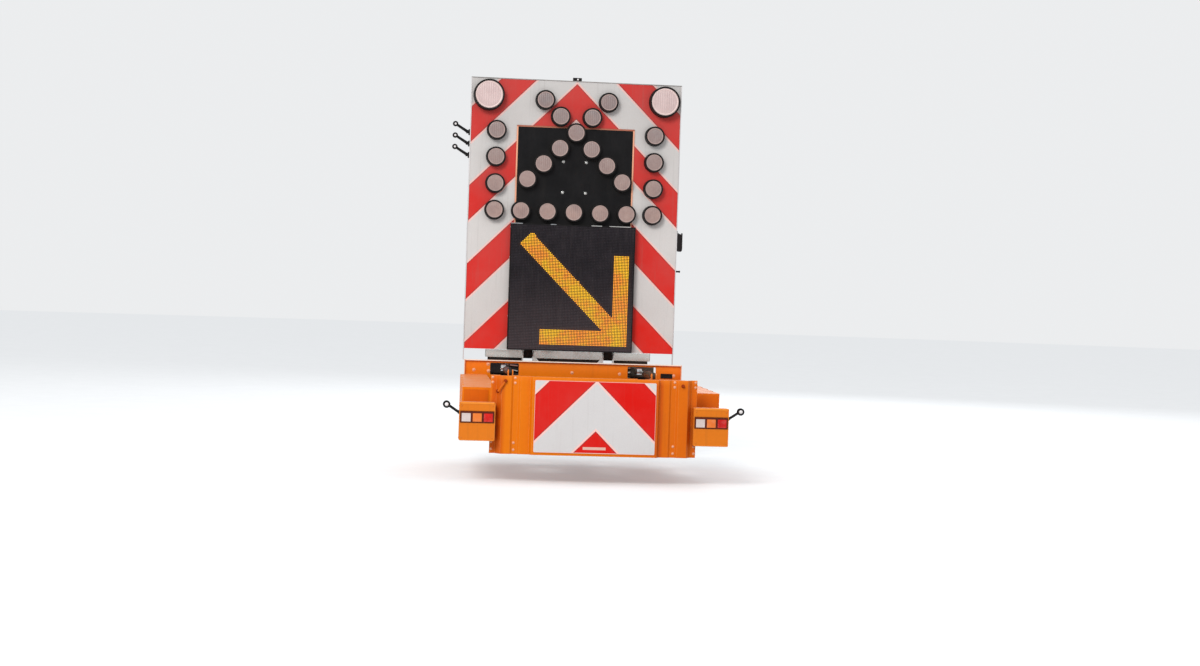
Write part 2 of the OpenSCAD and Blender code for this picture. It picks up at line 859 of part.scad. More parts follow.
module display_face() {
    y = board_y - display_d;
    color([0.12, 0.11, 0.13])
        slab(narrowed(centred(0, display_w), display_rim), [y - display_face_t, y],
             narrowed([board_bottom, panel_bottom], display_rim));
}

module flashers() {
    color("black")
        both_sides()
            on_board(flasher_x, flasher_v, board_y)
                lamp_hood(flasher_r, flasher_wall, flasher_d, flasher_d - flasher_seat);
}

module flasher_lenses() {
    color("mistyrose")
        both_sides()
            on_board(flasher_x, flasher_v, board_y - flasher_d + flasher_seat)
                domed_lens(flasher_r - flasher_wall - seat_clear, flasher_lens_edge, flasher_lens_dome);
}

module arrow_lamps() {
    color("black")
        for (spot = lamp_spots) {
            depth = on_panel(spot) ? lamp_d : lamp_d + panel_t;
            on_board(spot[0], spot[1], on_panel(spot) ? panel_y : board_y)
                lamp_hood(lamp_r, lamp_wall, depth, depth - lens_seat);
        }
}

module arrow_lenses() {
    color("rosybrown")
        for (spot = lamp_spots)
            on_board(spot[0], spot[1], panel_y - lamp_d + lens_seat)
                domed_lens(lamp_r - lamp_wall - seat_clear, lamp_lens_edge, lamp_lens_dome);
}

// A low cap with a half-round top
module light_sensor() {
    x = centred(0, sensor_w);
    y = [board_y, frame_front_y];
    round_r = (frame_front_y - board_y) / 2;
    round_height = board_top + sensor_h - round_r;
    color("black")
        difference() {
            union() {
                slab(x, y, [board_top, round_height]);
                bar_across(x, board_y + round_r, round_height, round_r);
            }
            slab(widened(x), widened(y), [board_top - round_r, board_top]);
        }
}

module eye_arms() {
    y = (sheet_front_y + frame_front_y) / 2;
    boss_end = eye_pad_t + eye_boss_l;
    root = boss_end - eye_rod_in;
    reach = eye_arm_reach - root;
    slant = atan2(eye_arm_rise, reach);
    length = norm([eye_arm_rise, reach]) - eye_r;
    color("black")
        for (i = [0:2])
            translate([-board_w / 2, y, board_bottom + eye_arm_v + i * eye_arm_pitch - mount_height]) {
                translate([-eye_pad_t, -eye_pad_w / 2, -eye_pad_h / 2])
                    cube([eye_pad_t, eye_pad_w, eye_pad_h]);
                translate([-boss_end, 0, 0])
                    rotate([0, 90, 0])
                        cylinder(r = eye_boss_r, h = eye_boss_l);
                translate([-root, 0, 0])
                    rotate([0, slant - 90, 0])
                        cylinder(r = eye_arm_r, h = length);
                translate([-eye_arm_reach, 0, eye_arm_rise])
                    rotate([90, 0, 0])
                        rotate_extrude()
                            translate([eye_r, 0])
                                circle(r = eye_ring_r);
            }
}

module side_latch() {
    x = board_w / 2 + latch_base_t;
    y = narrowed([sheet_front_y, frame_front_y], latch_inset);
    h = centred(board_bottom + latch_v, latch_l);
    body_r = (latch_out - latch_base_t) / 2;
    body_h = narrowed(h, latch_end + body_r);
    color("black") {
        slab([board_w / 2, x], y, h);
        slab([x, x + 2 * body_r], y, body_h);
        for (end = body_h)
            bar_along(x + body_r, y, end, body_r);
    }
}

// Cushion

module front_plate() {
    x = centred(0, front_w);
    y = [beam_front_y, front_y];
    rear = [beam_front_y - flange_d, beam_front_y];
    slot_ends = narrowed([slot_low, slot_high], slot_w / 2);
    color("darkorange")
        difference() {
            union() {
                slab(x, y, [front_bottom, front_top]);
                slab(x, rear, [front_top - flange_t, front_top]);
                slab(x, rear, [front_bottom, front_bottom + flange_t]);
                both_sides()
                    for (middle = [stiffener_in, stiffener_out])
                        slab(centred(middle, stiffener_t), [front_y, front_y + stiffener_d],
                             [front_bottom, front_top]);
            }
            both_sides() {
                slab(centred(ram_x, slot_w), widened(y), slot_ends);
                for (end = slot_ends)
                    bar_along(ram_x, widened(y), end, slot_w / 2);
                upright_plate(widened(y))
                    rounded_outline([window_in, window_in + window_w], [window_top - window_h, window_top],
                                    window_corner);
            }
        }
}

module cushion_lugs() {
    color("darkorange")
        both_sides()
            for (side = [-1, 1]) {
                x = centred(arm_x + side * (arm_w + 2 * lug_gap + lug_t) / 2, lug_t);
                root = centred(pivot_height, 2 * (lug_r + lug_spread));
                difference() {
                    union() {
                        bar_across(x, pivot_y, pivot_height, lug_r);
                        side_plate(x, [[front_y, root[0]], [front_y, root[1]],
                                       [pivot_y, pivot_height + lug_r], [pivot_y, pivot_height - lug_r]]);
                    }
                    bar_across(widened(x), pivot_y, pivot_height, pivot_pin_r + pin_clear);
                }
            }
}

// Outer face and top of the right side beam at a place along it
function beam_side_at(y) = beam_out - (beam_out - beam_front_x) * (y - beam_rear_y) / beam_l;
function beam_top_at(y) = beam_top_rear + (beam_top - beam_top_rear) * (y - beam_rear_y) / beam_l;

// Outline of the right side beam from above, drawn in by a wall's thickness at its sides and rear
function beam_outline(wall, front) =
    let (rear = beam_rear_y + wall, step = beam_l / (beads + 1),
         bead = [[0, -bead_w / 2 - bead_d], [bead_d, -bead_w / 2],
                 [bead_d, bead_w / 2], [0, bead_w / 2 + bead_d]])
    concat([[beam_in + wall, front], [beam_in + wall, rear], [beam_side_at(rear) - wall, rear]],
           [for (i = [1:beads], p = bead) let (y = beam_rear_y + i * step + p[1])
            [beam_side_at(y) - wall - p[0], y]],
           [[beam_side_at(front) - wall, front]]);

// A block under the beam's sloping top, drawn in by a wall's thickness
module beam_block(wall, front) {
    y = widened([beam_rear_y, front]);
    high = beam_top + beam_wall;
    difference() {
        level_plate([beam_bottom + wall, high])
            polygon(beam_outline(wall, front));
        side_plate(widened([beam_in, beam_out]),
                   [[y[0], beam_top_at(y[0]) - wall], [y[1], beam_top_at(y[1]) - wall],
                    [y[1], high + beam_wall], [y[0], high + beam_wall]]);
    }
}

// A box beam with pressed beads down its outer face, open at the front where the front plate closes it
module side_beam(side) {
    inside_y = beam_front_y - beam_wall;
    color("darkorange")
        mirror([side > 0 ? 0 : 1, 0, 0])
            difference() {
                beam_block(0, beam_front_y);
                beam_block(beam_wall, inside_y);
                slab([beam_in + 2 * beam_wall, front_w / 2 - beam_wall], widened([inside_y, beam_front_y]),
                     narrowed([beam_bottom, beam_top], 2 * beam_wall));
            }
}

module beam_left() {
    side_beam(-1);
}

module beam_right() {
    side_beam(1);
}

module cross_plate(y) {
    gap_x = (absorber_x + absorber_s / 2 + beam_in) / 2;
    difference() {
        slab([-beam_in, beam_in], y, [cross_bottom, cross_top]);
        for (x = [-gap_x, 0, gap_x])
            bar_along(x, widened(y), (cross_bottom + cross_top) / 2, cross_hole_r);
    }
}

module cross_plates() {
    color("darkorange") {
        cross_plate(centred(mid_cross_y, cross_t));
        cross_plate([beam_rear_y, beam_rear_y + cross_t]);
    }
}

module absorbers() {
    x = centred(absorber_x, absorber_s);
    h = centred((cross_bottom + cross_top) / 2, absorber_s);
    color("silver")
        both_sides() {
            tube(x, [mid_cross_y + cross_t / 2, beam_front_y], h, absorber_wall, "y");
            tube(x, [beam_rear_y + cross_t, mid_cross_y - cross_t / 2], h, absorber_wall, "y");
        }
}

module barrel_brackets() {
    foot_h = cross_top + foot_t;
    ear_in = barrel_eye_w / 2 + ear_gap;
    ear_reach = ear_in + ear_t + ear_pin_out;
    color("darkorange")
        both_sides() {
            slab(centred(ram_x, foot_w), centred(ram_y, foot_l), [cross_top, foot_h]);
            for (side = [-1, 1]) {
                x = centred(ram_x + side * (ear_in + ear_t / 2), ear_t);
                side_plate(x, [[ram_y - foot_l / 2, foot_h], [ram_y - barrel_eye_r, ram_height],
                               [ram_y + barrel_eye_r, ram_height], [ram_y + foot_l / 2, foot_h]]);
                bar_across(x, ram_y, ram_height, barrel_eye_r);
            }
            bar_across(centred(ram_x, 2 * ear_reach), ram_y, ram_height, ram_pin_r);
        }
}

module rear_plate() {
    ribs = [cross_bottom + rib_inset, (cross_bottom + cross_top) / 2, cross_top - rib_inset];
    flanged = concat(fold_rear, fold_front(rear_t + rear_flange_d));
    color("darkorange") {
        level_plate([rear_bottom, rear_top])
            polygon(concat(fold_rear, fold_front(rear_t)));
        for (h = [rear_bottom, rear_top - rear_t])
            level_plate([h, h + rear_t])
                polygon(flanged);
        for (h = ribs)
            level_plate(centred(h, rib_t))
                polygon(concat(fold_front(rear_t), [[-beam_in, beam_rear_y], [beam_in, beam_rear_y]]));
    }
}

module chevron_panel() {
    color("white")
        upright_plate([rear_y - chevron_t, rear_y])
            rounded_outline(centred(0, chevron_w), [chevron_top - chevron_h, chevron_top], chevron_corner);
}

module lamp_box(side) {
    box_h = [lightbox_top - lightbox_h, lightbox_top];
    bracket_top = lightbox_top - bracket_drop;
    strip_w = 2 * lens_pitch + lens_s + 2 * recess_border;
    strip_h = lens_s + 2 * recess_border;
    color("darkorange") {
        difference() {
            upright_plate([rear_y, lightbox_front_y])
                rounded_outline(sided(side, [lightbox_in, lightbox_out]), box_h, lightbox_corner);
            slab(centred(side * lightbox_mid, strip_w), [rear_y - 1, rear_y + recess_d],
                 centred(lens_height, strip_h));
        }
        tube(centred(side * lightbox_mid, bracket_w), [lightbox_front_y, beam_rear_y],
             [bracket_top - bracket_h, bracket_top], bracket_wall, "y");
    }
}

module lamp_box_left() {
    lamp_box(-1);
}

module lamp_box_right() {
    lamp_box(1);
}

// One square lens of the three in each lamp box, counted from the left on both sides
module square_lenses(index) {
    for (side = [-1, 1])
        upright_plate([rear_y + recess_d - lens_t, rear_y + recess_d])
            rounded_outline(centred(side * lightbox_mid + (index - 1) * lens_pitch, lens_s),
                            centred(lens_height, lens_s), lens_corner);
}

module lenses_white() {
    color("white")
        square_lenses(0);
}

module lenses_amber() {
    color("orange")
        square_lenses(1);
}

module lenses_red() {
    color("red")
        square_lenses(2);
}

// Centre of the right marker's head
marker_spot = [lightbox_out + marker_reach, (rear_y + lightbox_front_y) / 2,
               lightbox_top - marker_drop + marker_rise];

module marker_arms() {
    root_height = lightbox_top - marker_drop;
    reach = marker_reach - marker_collar_t;
    slant = atan2(reach, marker_rise);
    color("black")
        both_sides() {
            bar_across([lightbox_out, lightbox_out + marker_collar_t], marker_spot[1], root_height,
                       marker_collar_r);
            translate([lightbox_out + marker_collar_t / 2, marker_spot[1], root_height - mount_height])
                rotate([0, slant, 0])
                    cylinder(r = marker_arm_r, h = norm([reach, marker_rise]) - marker_arm_r);
            bar_along(marker_spot[0], centred(marker_spot[1], marker_head_t), marker_spot[2], marker_head_r);
        }
}

module marker_lenses() {
    color("white")
        both_sides()
            translate([marker_spot[0], marker_spot[1] - marker_head_t / 2, marker_spot[2] - mount_height])
                rotate([90, 0, 0])
                    domed_lens(marker_r, marker_dome / 2, marker_dome);
}

// Fold cylinders

// Places a fold cylinder's piece from the barrel's pivot, with its axis towards the truck
module on_ram(side) {
    translate([side * ram_x, ram_y, ram_height - mount_height])
        rotate([-90, 0, 0])
            children();
}

module ram_eye(w, r) {
    rotate([0, 90, 0])
        translate([0, 0, -w / 2])
            cylinder(r = r, h = w);
}

module barrel(side) {
    neck_h = 2 * (barrel_eye_r - neck_inset);
    color("black")
        on_ram(side)
            difference() {
                union() {
                    ram_eye(barrel_eye_w, barrel_eye_r);
                    translate([-barrel_eye_w / 2, -neck_h / 2, 0])
                        cube([barrel_eye_w, neck_h, barrel_neck + 1]);
                    translate([0, 0, barrel_neck])
                        cylinder(r = barrel_r, h = barrel_l - barrel_neck);
                    translate([0, 0, barrel_l - collar_l])
                        cylinder(r = barrel_r + collar_step, h = collar_l);
                    for (z = [barrel_neck + port_inset, barrel_l - collar_l - port_inset])
                        translate([0, 0, z])
                            rotate([90, 0, 0])
                                cylinder(r = port_r, h = barrel_r + port_out);
                }
                ram_eye(2 * barrel_eye_w, ram_pin_r + pin_clear);
                translate([0, 0, barrel_neck + barrel_end])
                    cylinder(r = rod_r + seat_clear, h = barrel_l);
            }
}

module barrel_left() {
    barrel(-1);
}

module barrel_right() {
    barrel(1);
}

module rod(side) {
    color("lightgray")
        on_ram(side)
            difference() {
                union() {
                    translate([0, 0, barrel_l - rod_tail])
                        cylinder(r = rod_r, h = ram_l - barrel_l + rod_tail);
                    translate([0, 0, ram_l])
                        ram_eye(rod_eye_w, rod_eye_r);
                }
                translate([0, 0, ram_l])
                    ram_eye(2 * rod_eye_w, ram_pin_r + pin_clear);
            }
}

module rod_left() {
    rod(-1);
}

module rod_right() {
    rod(1);
}

mount_plate();
base_crossbeam();
base_arm_left();
base_arm_right();
base_gussets();
anchor_arms();
hinge_cheeks();
hinge_beam();
hinge_pins();
board_sheet();
edge_frame();
crossbars_back();
uprights();
board_arms();
lamp_panel();
panel_trim();
display_housing();
display_face();
flashers();
flasher_lenses();
arrow_lamps();
arrow_lenses();
light_sensor();
eye_arms();
side_latch();
front_plate();
cushion_lugs();
beam_left();
beam_right();
cross_plates();
absorbers();
barrel_brackets();
rear_plate();
chevron_panel();
lamp_box_left();
lamp_box_right();
lenses_white();
lenses_amber();
lenses_red();
marker_arms();
marker_lenses();
barrel_left();
barrel_right();
rod_left();
rod_right();
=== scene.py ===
"""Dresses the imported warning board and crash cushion: materials, fittings, stage, lights and camera."""

import math
from functools import partialmethod

import bmesh
import bpy
from mathutils import Matrix, Vector
from mathutils.bvhtree import BVHTree


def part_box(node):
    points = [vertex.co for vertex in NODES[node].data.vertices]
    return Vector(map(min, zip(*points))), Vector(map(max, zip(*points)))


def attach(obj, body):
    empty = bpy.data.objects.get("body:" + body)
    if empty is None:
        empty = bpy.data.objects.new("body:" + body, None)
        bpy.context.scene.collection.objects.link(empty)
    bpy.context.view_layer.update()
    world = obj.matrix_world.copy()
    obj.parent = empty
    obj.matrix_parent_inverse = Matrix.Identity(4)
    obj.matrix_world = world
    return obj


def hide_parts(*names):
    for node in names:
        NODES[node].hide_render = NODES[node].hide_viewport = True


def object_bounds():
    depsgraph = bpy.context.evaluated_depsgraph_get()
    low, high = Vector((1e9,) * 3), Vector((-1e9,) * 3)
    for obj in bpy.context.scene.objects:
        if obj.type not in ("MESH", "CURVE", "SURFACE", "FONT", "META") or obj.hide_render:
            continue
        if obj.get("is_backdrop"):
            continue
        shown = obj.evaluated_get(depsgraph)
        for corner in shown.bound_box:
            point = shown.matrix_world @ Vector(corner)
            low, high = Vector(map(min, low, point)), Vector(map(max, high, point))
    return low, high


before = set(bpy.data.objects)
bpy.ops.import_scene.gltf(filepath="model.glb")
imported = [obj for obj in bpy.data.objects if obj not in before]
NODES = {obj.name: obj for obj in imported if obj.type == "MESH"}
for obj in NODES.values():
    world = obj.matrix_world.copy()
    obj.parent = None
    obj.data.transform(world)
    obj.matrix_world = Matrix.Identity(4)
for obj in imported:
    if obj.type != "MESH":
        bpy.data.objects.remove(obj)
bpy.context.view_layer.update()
scene = bpy.context.scene
scene.view_settings.view_transform = "Standard"


# Camera, at the photograph's place and angle

PHOTO_WIDTH, FOCAL_PIXELS, SENSOR = 1200, 2024.7, 36
CAMERA_AT = (-2.027, -21.153, 0.894)
YAW, PITCH, ROLL = map(math.radians, (-6.380, -1.016, 1.890))


def make_camera():
    cam = bpy.data.cameras.new("camera")
    cam.sensor_fit = "HORIZONTAL"
    cam.sensor_width = SENSOR
    cam.lens = SENSOR * FOCAL_PIXELS / PHOTO_WIDTH
    cam.clip_start, cam.clip_end = 0.1, 500
    obj = bpy.data.objects.new("camera", cam)
    scene.collection.objects.link(obj)
    level = Matrix.Rotation(YAW, 4, "Z") @ Matrix.Rotation(math.pi / 2 + PITCH, 4, "X")
    obj.matrix_world = Matrix.Translation(CAMERA_AT) @ level @ Matrix.Rotation(ROLL, 4, "Z")
    scene.camera = obj


make_camera()


# Places on the frame, in metres: y is low on the faces that look to the rear

def span(node, axis):
    """The low and the high end of a node's box along x, y or z."""
    low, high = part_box(node)
    k = "xyz".index(axis)
    return low[k], high[k]


SIDES = (-1, 1)
REAR, FORE = (0, -1, 0), (0, 1, 0)
GROUND = -0.82
SHEET_FRONT, SHEET_BACK = span("board_sheet", "y")
PANEL_FRONT = span("lamp_panel", "y")[0]
LAMP_FRONT = span("arrow_lamps", "y")[0]
FLASHER_FRONT = span("flashers", "y")[0]
DISPLAY_FRONT = span("display_face", "y")[0]
HOUSE_HALF = span("display_housing", "x")[1]
HOUSE_LOW, HOUSE_TOP = span("display_housing", "z")
(_, EDGE_FRONT, _), (EDGE, _, EDGE_TOP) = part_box("edge_frame")
EDGE_Y = sum(span("eye_arms", "y")) / 2
LATCH_Z = sum(span("side_latch", "z")) / 2
BAR_BACK, UPRIGHT_BACK = span("crossbars_back", "y")[1], span("uprights", "y")[1]
BARS = (0.35, 1.25, 2.15, 3.05)
UPRIGHT = 0.42
HINGE_REAR = span("hinge_beam", "y")[0]
MOUNT_REAR = span("mount_plate", "y")[0]
(_, PLATE_REAR, _), (PLATE_HALF, _, PLATE_TOP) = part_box("front_plate")
BEAM_REAR = span("beam_left", "y")[0]
BOX_IN, BOX_OUT = span("lamp_box_right", "x")
BOX_REAR = span("lamp_box_right", "y")[0]
BOX_X = (BOX_IN + BOX_OUT) / 2


# Shader building

def lin(c):
    """A screen colour as linear light, with full opacity."""
    return tuple(v / 12.92 if v <= 0.04045 else ((v + 0.055) / 1.055) ** 2.4 for v in c) + (1.0,)


class Tree:
    """The nodes of one material or world, with a short call for each kind that is used."""

    def __init__(self, name, world=None):
        self.owner = world or bpy.data.materials.new(name)
        self.owner.use_nodes = True
        self.nt = self.owner.node_tree
        self.nt.nodes.clear()
        if world is None:
            self.pos = self.n("TexCoord").outputs["Object"]
            self.x, self.y, self.z = self.n("SeparateXYZ", {0: self.pos}).outputs

    def n(self, kind, ins=None, **props):
        node = self.nt.nodes.new("ShaderNode" + kind)
        for k, v in props.items():
            setattr(node, k, v)
        for k, v in (ins or {}).items():
            if isinstance(v, bpy.types.NodeSocket):
                self.nt.links.new(v, node.inputs[k])
            else:
                node.inputs[k].default_value = v
        return node

    def m(self, op, a, *others):
        """A sum, product or the like of two or more values."""
        for b in others or (0.0,):
            a = self.n("Math", {0: a, 1: b}, operation=op).outputs[0]
        return a

    add = partialmethod(m, "ADD")
    sub = partialmethod(m, "SUBTRACT")
    mul = partialmethod(m, "MULTIPLY")
    most = partialmethod(m, "MAXIMUM")
    least = partialmethod(m, "MINIMUM")
    size = partialmethod(m, "ABSOLUTE")

    def past(self, v, middle, half):
        """How far v lies outside a stretch, below zero inside it."""
        return self.sub(self.size(self.sub(v, middle)), half)

    def outside(self, mid_x, half_x, mid_z, half_z):
        """How far a point lies outside an upright rectangle, below zero inside it."""
        return self.most(self.past(self.x, mid_x, half_x), self.past(self.z, mid_z, half_z))

    def step(self, v, lo, hi, a=0.0, b=1.0):
        return self.n("MapRange", {0: v, 1: lo, 2: hi, 3: a, 4: b}, clamp=True).outputs[0]

    def mix(self, f, a, b):
        a, b = (lin(c) if isinstance(c, tuple) else c for c in (a, b))
        return self.n("Mix", {0: f, 6: a, 7: b}, data_type="RGBA").outputs[2]

    def stretch(self, *scale):
        return self.n("Mapping", {0: self.pos, 3: scale}).outputs[0]

    def noise(self, scale, detail=3.0, rough=0.55, vec=None):
        ins = {"Vector": vec or self.pos, "Scale": scale, "Detail": detail, "Roughness": rough}
        return self.n("TexNoise", ins).outputs[0]

    def grain(self, x, y, z, detail=4.0, rough=0.6):
        """Noise drawn out into streaks, by its scale along each axis."""
        return self.noise(1.0, detail, rough, self.stretch(x, y, z))

    def cells(self, scale, vec=None, out="Distance"):
        return self.n("TexVoronoi", {"Vector": vec or self.pos, "Scale": scale}).outputs[out]

    def edge(self, radius):
        """The normal rounded over edges, and a mask of the edges themselves."""
        soft = self.n("Bevel", {0: radius}, samples=4).outputs[0]
        hard = self.n("NewGeometry").outputs["Normal"]
        dot = self.n("VectorMath", {0: soft, 1: hard}, operation="DOT_PRODUCT").outputs["Value"]
        return soft, self.step(dot, 0.995, 0.86)

    def nook(self, reach):
        return self.step(self.n("AmbientOcclusion", {"Distance": reach}, samples=4).outputs["AO"], 0.95, 0.35)

    def bump(self, height, depth, normal=None):
        ins = {"Strength": 1.0, "Distance": depth, "Height": height}
        if normal:
            ins["Normal"] = normal
        return self.n("Bump", ins).outputs[0]

    def seen(self):
        """1 where the camera sees a surface straight, mirrored or through glass, and 0 for other rays."""
        rays = self.n("LightPath").outputs
        return self.most(rays["Is Camera Ray"], rays["Is Glossy Ray"], rays["Is Transmission Ray"])

    def close(self, kind, shader):
        self.n("Output" + kind, {0: shader.outputs[0]})
        return self.owner

    def finish(self, colour, rough, normal=None, shine=0.5, **ins):
        """Ends a material in a Principled shader. Further inputs have underscores for spaces."""
        ins.update(Base_Color=colour, Roughness=rough, Specular_IOR_Level=shine)
        if normal:
            ins["Normal"] = normal
        ins = {k.replace("_", " "): v for k, v in ins.items()}
        return self.close("Material", self.n("BsdfPrincipled", ins))


def coated(name, colour, rough, bare, worn, grime_and_shade_tone=(0.2, 0.17, 0.14), grime_and_shade=0.45, fade=0.06, radius=0.003,
           paint=None, pale=(0.98, 0.86, 0.7), rim=None, dust_and_sheen=None):
    """Paint on steel: faded patches, run-off streaks, grime with painted shade in the corners, chipped edges
    and orange peel; paler edges as painted highlight and wear where a rim tone is given, and paler faces that
    look up, with dust and a painted sheen, where a dust tone is given.
    """
    t = Tree(name)
    base = paint(t) if paint else colour
    light = t.mix(t.step(t.noise(1.7, 4.0), 0.4, 0.75, 0.0, fade), base, pale)
    shade = t.mix(t.step(t.noise(38.0, 5.0, 0.65), 0.3, 0.8, 0.0, fade), light, (0.1, 0.07, 0.05))
    streak = t.mix(t.step(t.grain(26.0, 26.0, 1.3), 0.55, 0.8, 0.0, grime_and_shade * 0.5), shade, grime_and_shade_tone)
    # Darker in the corners by occlusion: grime, and painted shade.
    corner = t.mul(t.nook(0.11), t.step(t.noise(9.0, 5.0, 0.7), 0.3, 0.65))
    grimy_and_shaded = t.mix(t.mul(corner, grime_and_shade), streak, grime_and_shade_tone)
    # Faces that look up turn paler: dust, and a painted sheen of sky light.
    if dust_and_sheen:
        up = t.n("SeparateXYZ", {0: t.n("TexCoord").outputs["Normal"]}).outputs[2]
        up_faces_dust_and_sheen = t.mul(t.step(up, 0.6, 0.9), t.step(t.noise(6.0, 5.0, 0.7), 0.3, 0.7, 0.2, 0.5))
        grimy_and_shaded = t.mix(up_faces_dust_and_sheen, grimy_and_shaded, dust_and_sheen)
    soft, edge = t.edge(radius)
    # Paler edges: a painted highlight, and wear.
    if rim:
        grimy_and_shaded = t.mix(t.mul(edge, 0.6), grimy_and_shaded, rim)
    chip = t.mul(t.step(edge, 0.25, 0.7), t.step(t.noise(27.0, 5.0, 0.75), 0.56 - 0.12 * worn, 0.62))
    speck = t.mul(t.step(t.cells(21.0), 0.045, 0.03), t.step(t.noise(3.3), 0.56, 0.6))
    bald = t.mul(t.most(chip, t.mul(speck, 0.6)), worn)
    gloss = t.step(t.noise(5.0, 6.0, 0.7), 0.3, 0.7, rough - 0.06, rough + 0.1)
    height = t.sub(t.noise(260.0, 2.0), t.mul(bald, 2.0))
    gloss = t.add(gloss, t.mul(corner, 0.25))
    return t.finish(t.mix(bald, grimy_and_shaded, bare), gloss, t.bump(height, 0.00012, soft), 0.16)


def metal(name, colour, rough, grain=None, grime_and_shade=0.3, radius=0.002, bare=0.9, depth=0.0001):
    """Bare metal: a grain, or zinc spangle where none is given, dull patches, and grime with painted shade in
    the corners.
    """
    t = Tree(name)
    soft, edge = t.edge(radius)
    if grain:
        mark = t.grain(*grain)
    else:
        tone = t.n("SeparateColor", {0: t.cells(85.0, out="Color")}).outputs[0]
        mark = t.add(t.mul(tone, 0.45), t.mul(t.noise(12.0, 5.0), 0.55))
    base = t.mix(t.step(mark, 0.25, 0.75), tuple(v * 0.86 for v in colour), colour)
    dull = t.step(t.noise(4.2, 6.0, 0.7), 0.42, 0.7)
    cloudy = t.mix(t.mul(dull, 0.3), base, (0.62, 0.62, 0.6))
    # Darker in the corners by occlusion: grime, and painted shade.
    corner = t.mul(t.nook(0.07), t.step(t.noise(14.0, 5.0, 0.7), 0.25, 0.6))
    grimy_and_shaded = t.mix(t.mul(corner, grime_and_shade), cloudy, (0.25, 0.23, 0.2))
    bright = t.mix(t.mul(edge, 0.5), grimy_and_shaded, (0.9, 0.9, 0.89))
    gloss = t.add(t.step(mark, 0.2, 0.8, rough - 0.07, rough + 0.09), t.mul(dull, 0.14))
    height = t.add(mark, t.noise(180.0, 2.0))
    return t.finish(bright, gloss, t.bump(height, depth, soft), Metallic=bare)


def moulded(name, colour, rough, dusty, grain=420.0, depth=0.00012, shine=0.15):
    """Plastic, rubber or matt black sheet: fine texture, dust that settled in bands, paler scuffed edges."""
    t = Tree(name)
    soft, edge = t.edge(0.0015)
    tone = t.step(t.noise(6.0, 5.0, 0.65), 0.3, 0.75)
    base = t.mix(tone, colour, tuple(min(1.0, v * 1.35 + 0.01) for v in colour))
    film = t.mul(t.step(t.grain(9.0, 9.0, 2.2, 5.0, 0.7), 0.42, 0.8), dusty)
    corner = t.mul(t.nook(0.06), dusty * 0.7)
    veil = t.mix(t.most(t.mul(film, 0.5), corner), base, (0.36, 0.34, 0.32))
    scuff = t.mul(edge, t.step(t.noise(31.0, 4.0), 0.42, 0.7, 0.0, 0.45))
    worn = t.mix(scuff, veil, tuple(min(1.0, v + 0.22) for v in colour))
    gloss = t.step(t.noise(8.0, 5.0), 0.3, 0.75, rough - 0.08, rough + 0.12)
    height = t.add(t.noise(grain, 2.0), t.mul(t.noise(55.0, 3.0), 0.6))
    return t.finish(worn, gloss, t.bump(height, depth, soft), shine)


def glassy(name, colour, deep, high=None):
    """A lens: a clear cover over a reflector's cells, a little dusty, and in another tone higher up."""
    t = Tree(name)
    if high:
        colour = t.mix(t.step(t.z, 1.75, 2.9), colour, high)
    base = t.mix(t.step(t.noise(7.0, 4.0, 0.6), 0.3, 0.75), colour, deep)
    cell = t.cells(160.0)
    base = t.mix(t.step(cell, 0.1, 0.5, 0.0, 0.16), base, deep)
    haze = t.mix(t.step(t.noise(24.0, 5.0, 0.7), 0.45, 0.8, 0.0, 0.15), base, (0.78, 0.76, 0.73))
    return t.finish(haze, t.step(t.noise(30.0, 4.0), 0.3, 0.7, 0.17, 0.34), t.bump(cell, 0.0004), 0.25)


# Sheeting in stripes, as functions of the place on the board

RED, WHITE, SEAL = (0.86, 0.165, 0.14), (0.868, 0.856, 0.848), (1.0, 0.82, 0.79)


def banded(t, top, period, share, red, white, middle):
    """White from the top of each period down its share, then red, with a sealed seam where they meet."""
    run = t.sub(top, t.add(t.z, t.size(t.sub(t.x, middle))))
    part = t.m("FRACT", t.add(t.m("DIVIDE", run, period), 20.0))
    is_white = t.m("LESS_THAN", part, share)
    in_white = t.least(part, t.sub(share, part))
    in_red = t.least(t.sub(part, share), t.sub(1.0, part))
    seam = t.mul(t.step(in_white, 0.027 / period, 0.021 / period), is_white)
    line = t.mul(t.step(in_red, 0.014 / period, 0.006 / period, 0.0, 0.75), t.sub(1.0, is_white))
    return t.mix(line, t.mix(seam, t.mix(is_white, red, white), SEAL), (0.55, 0.15, 0.15))


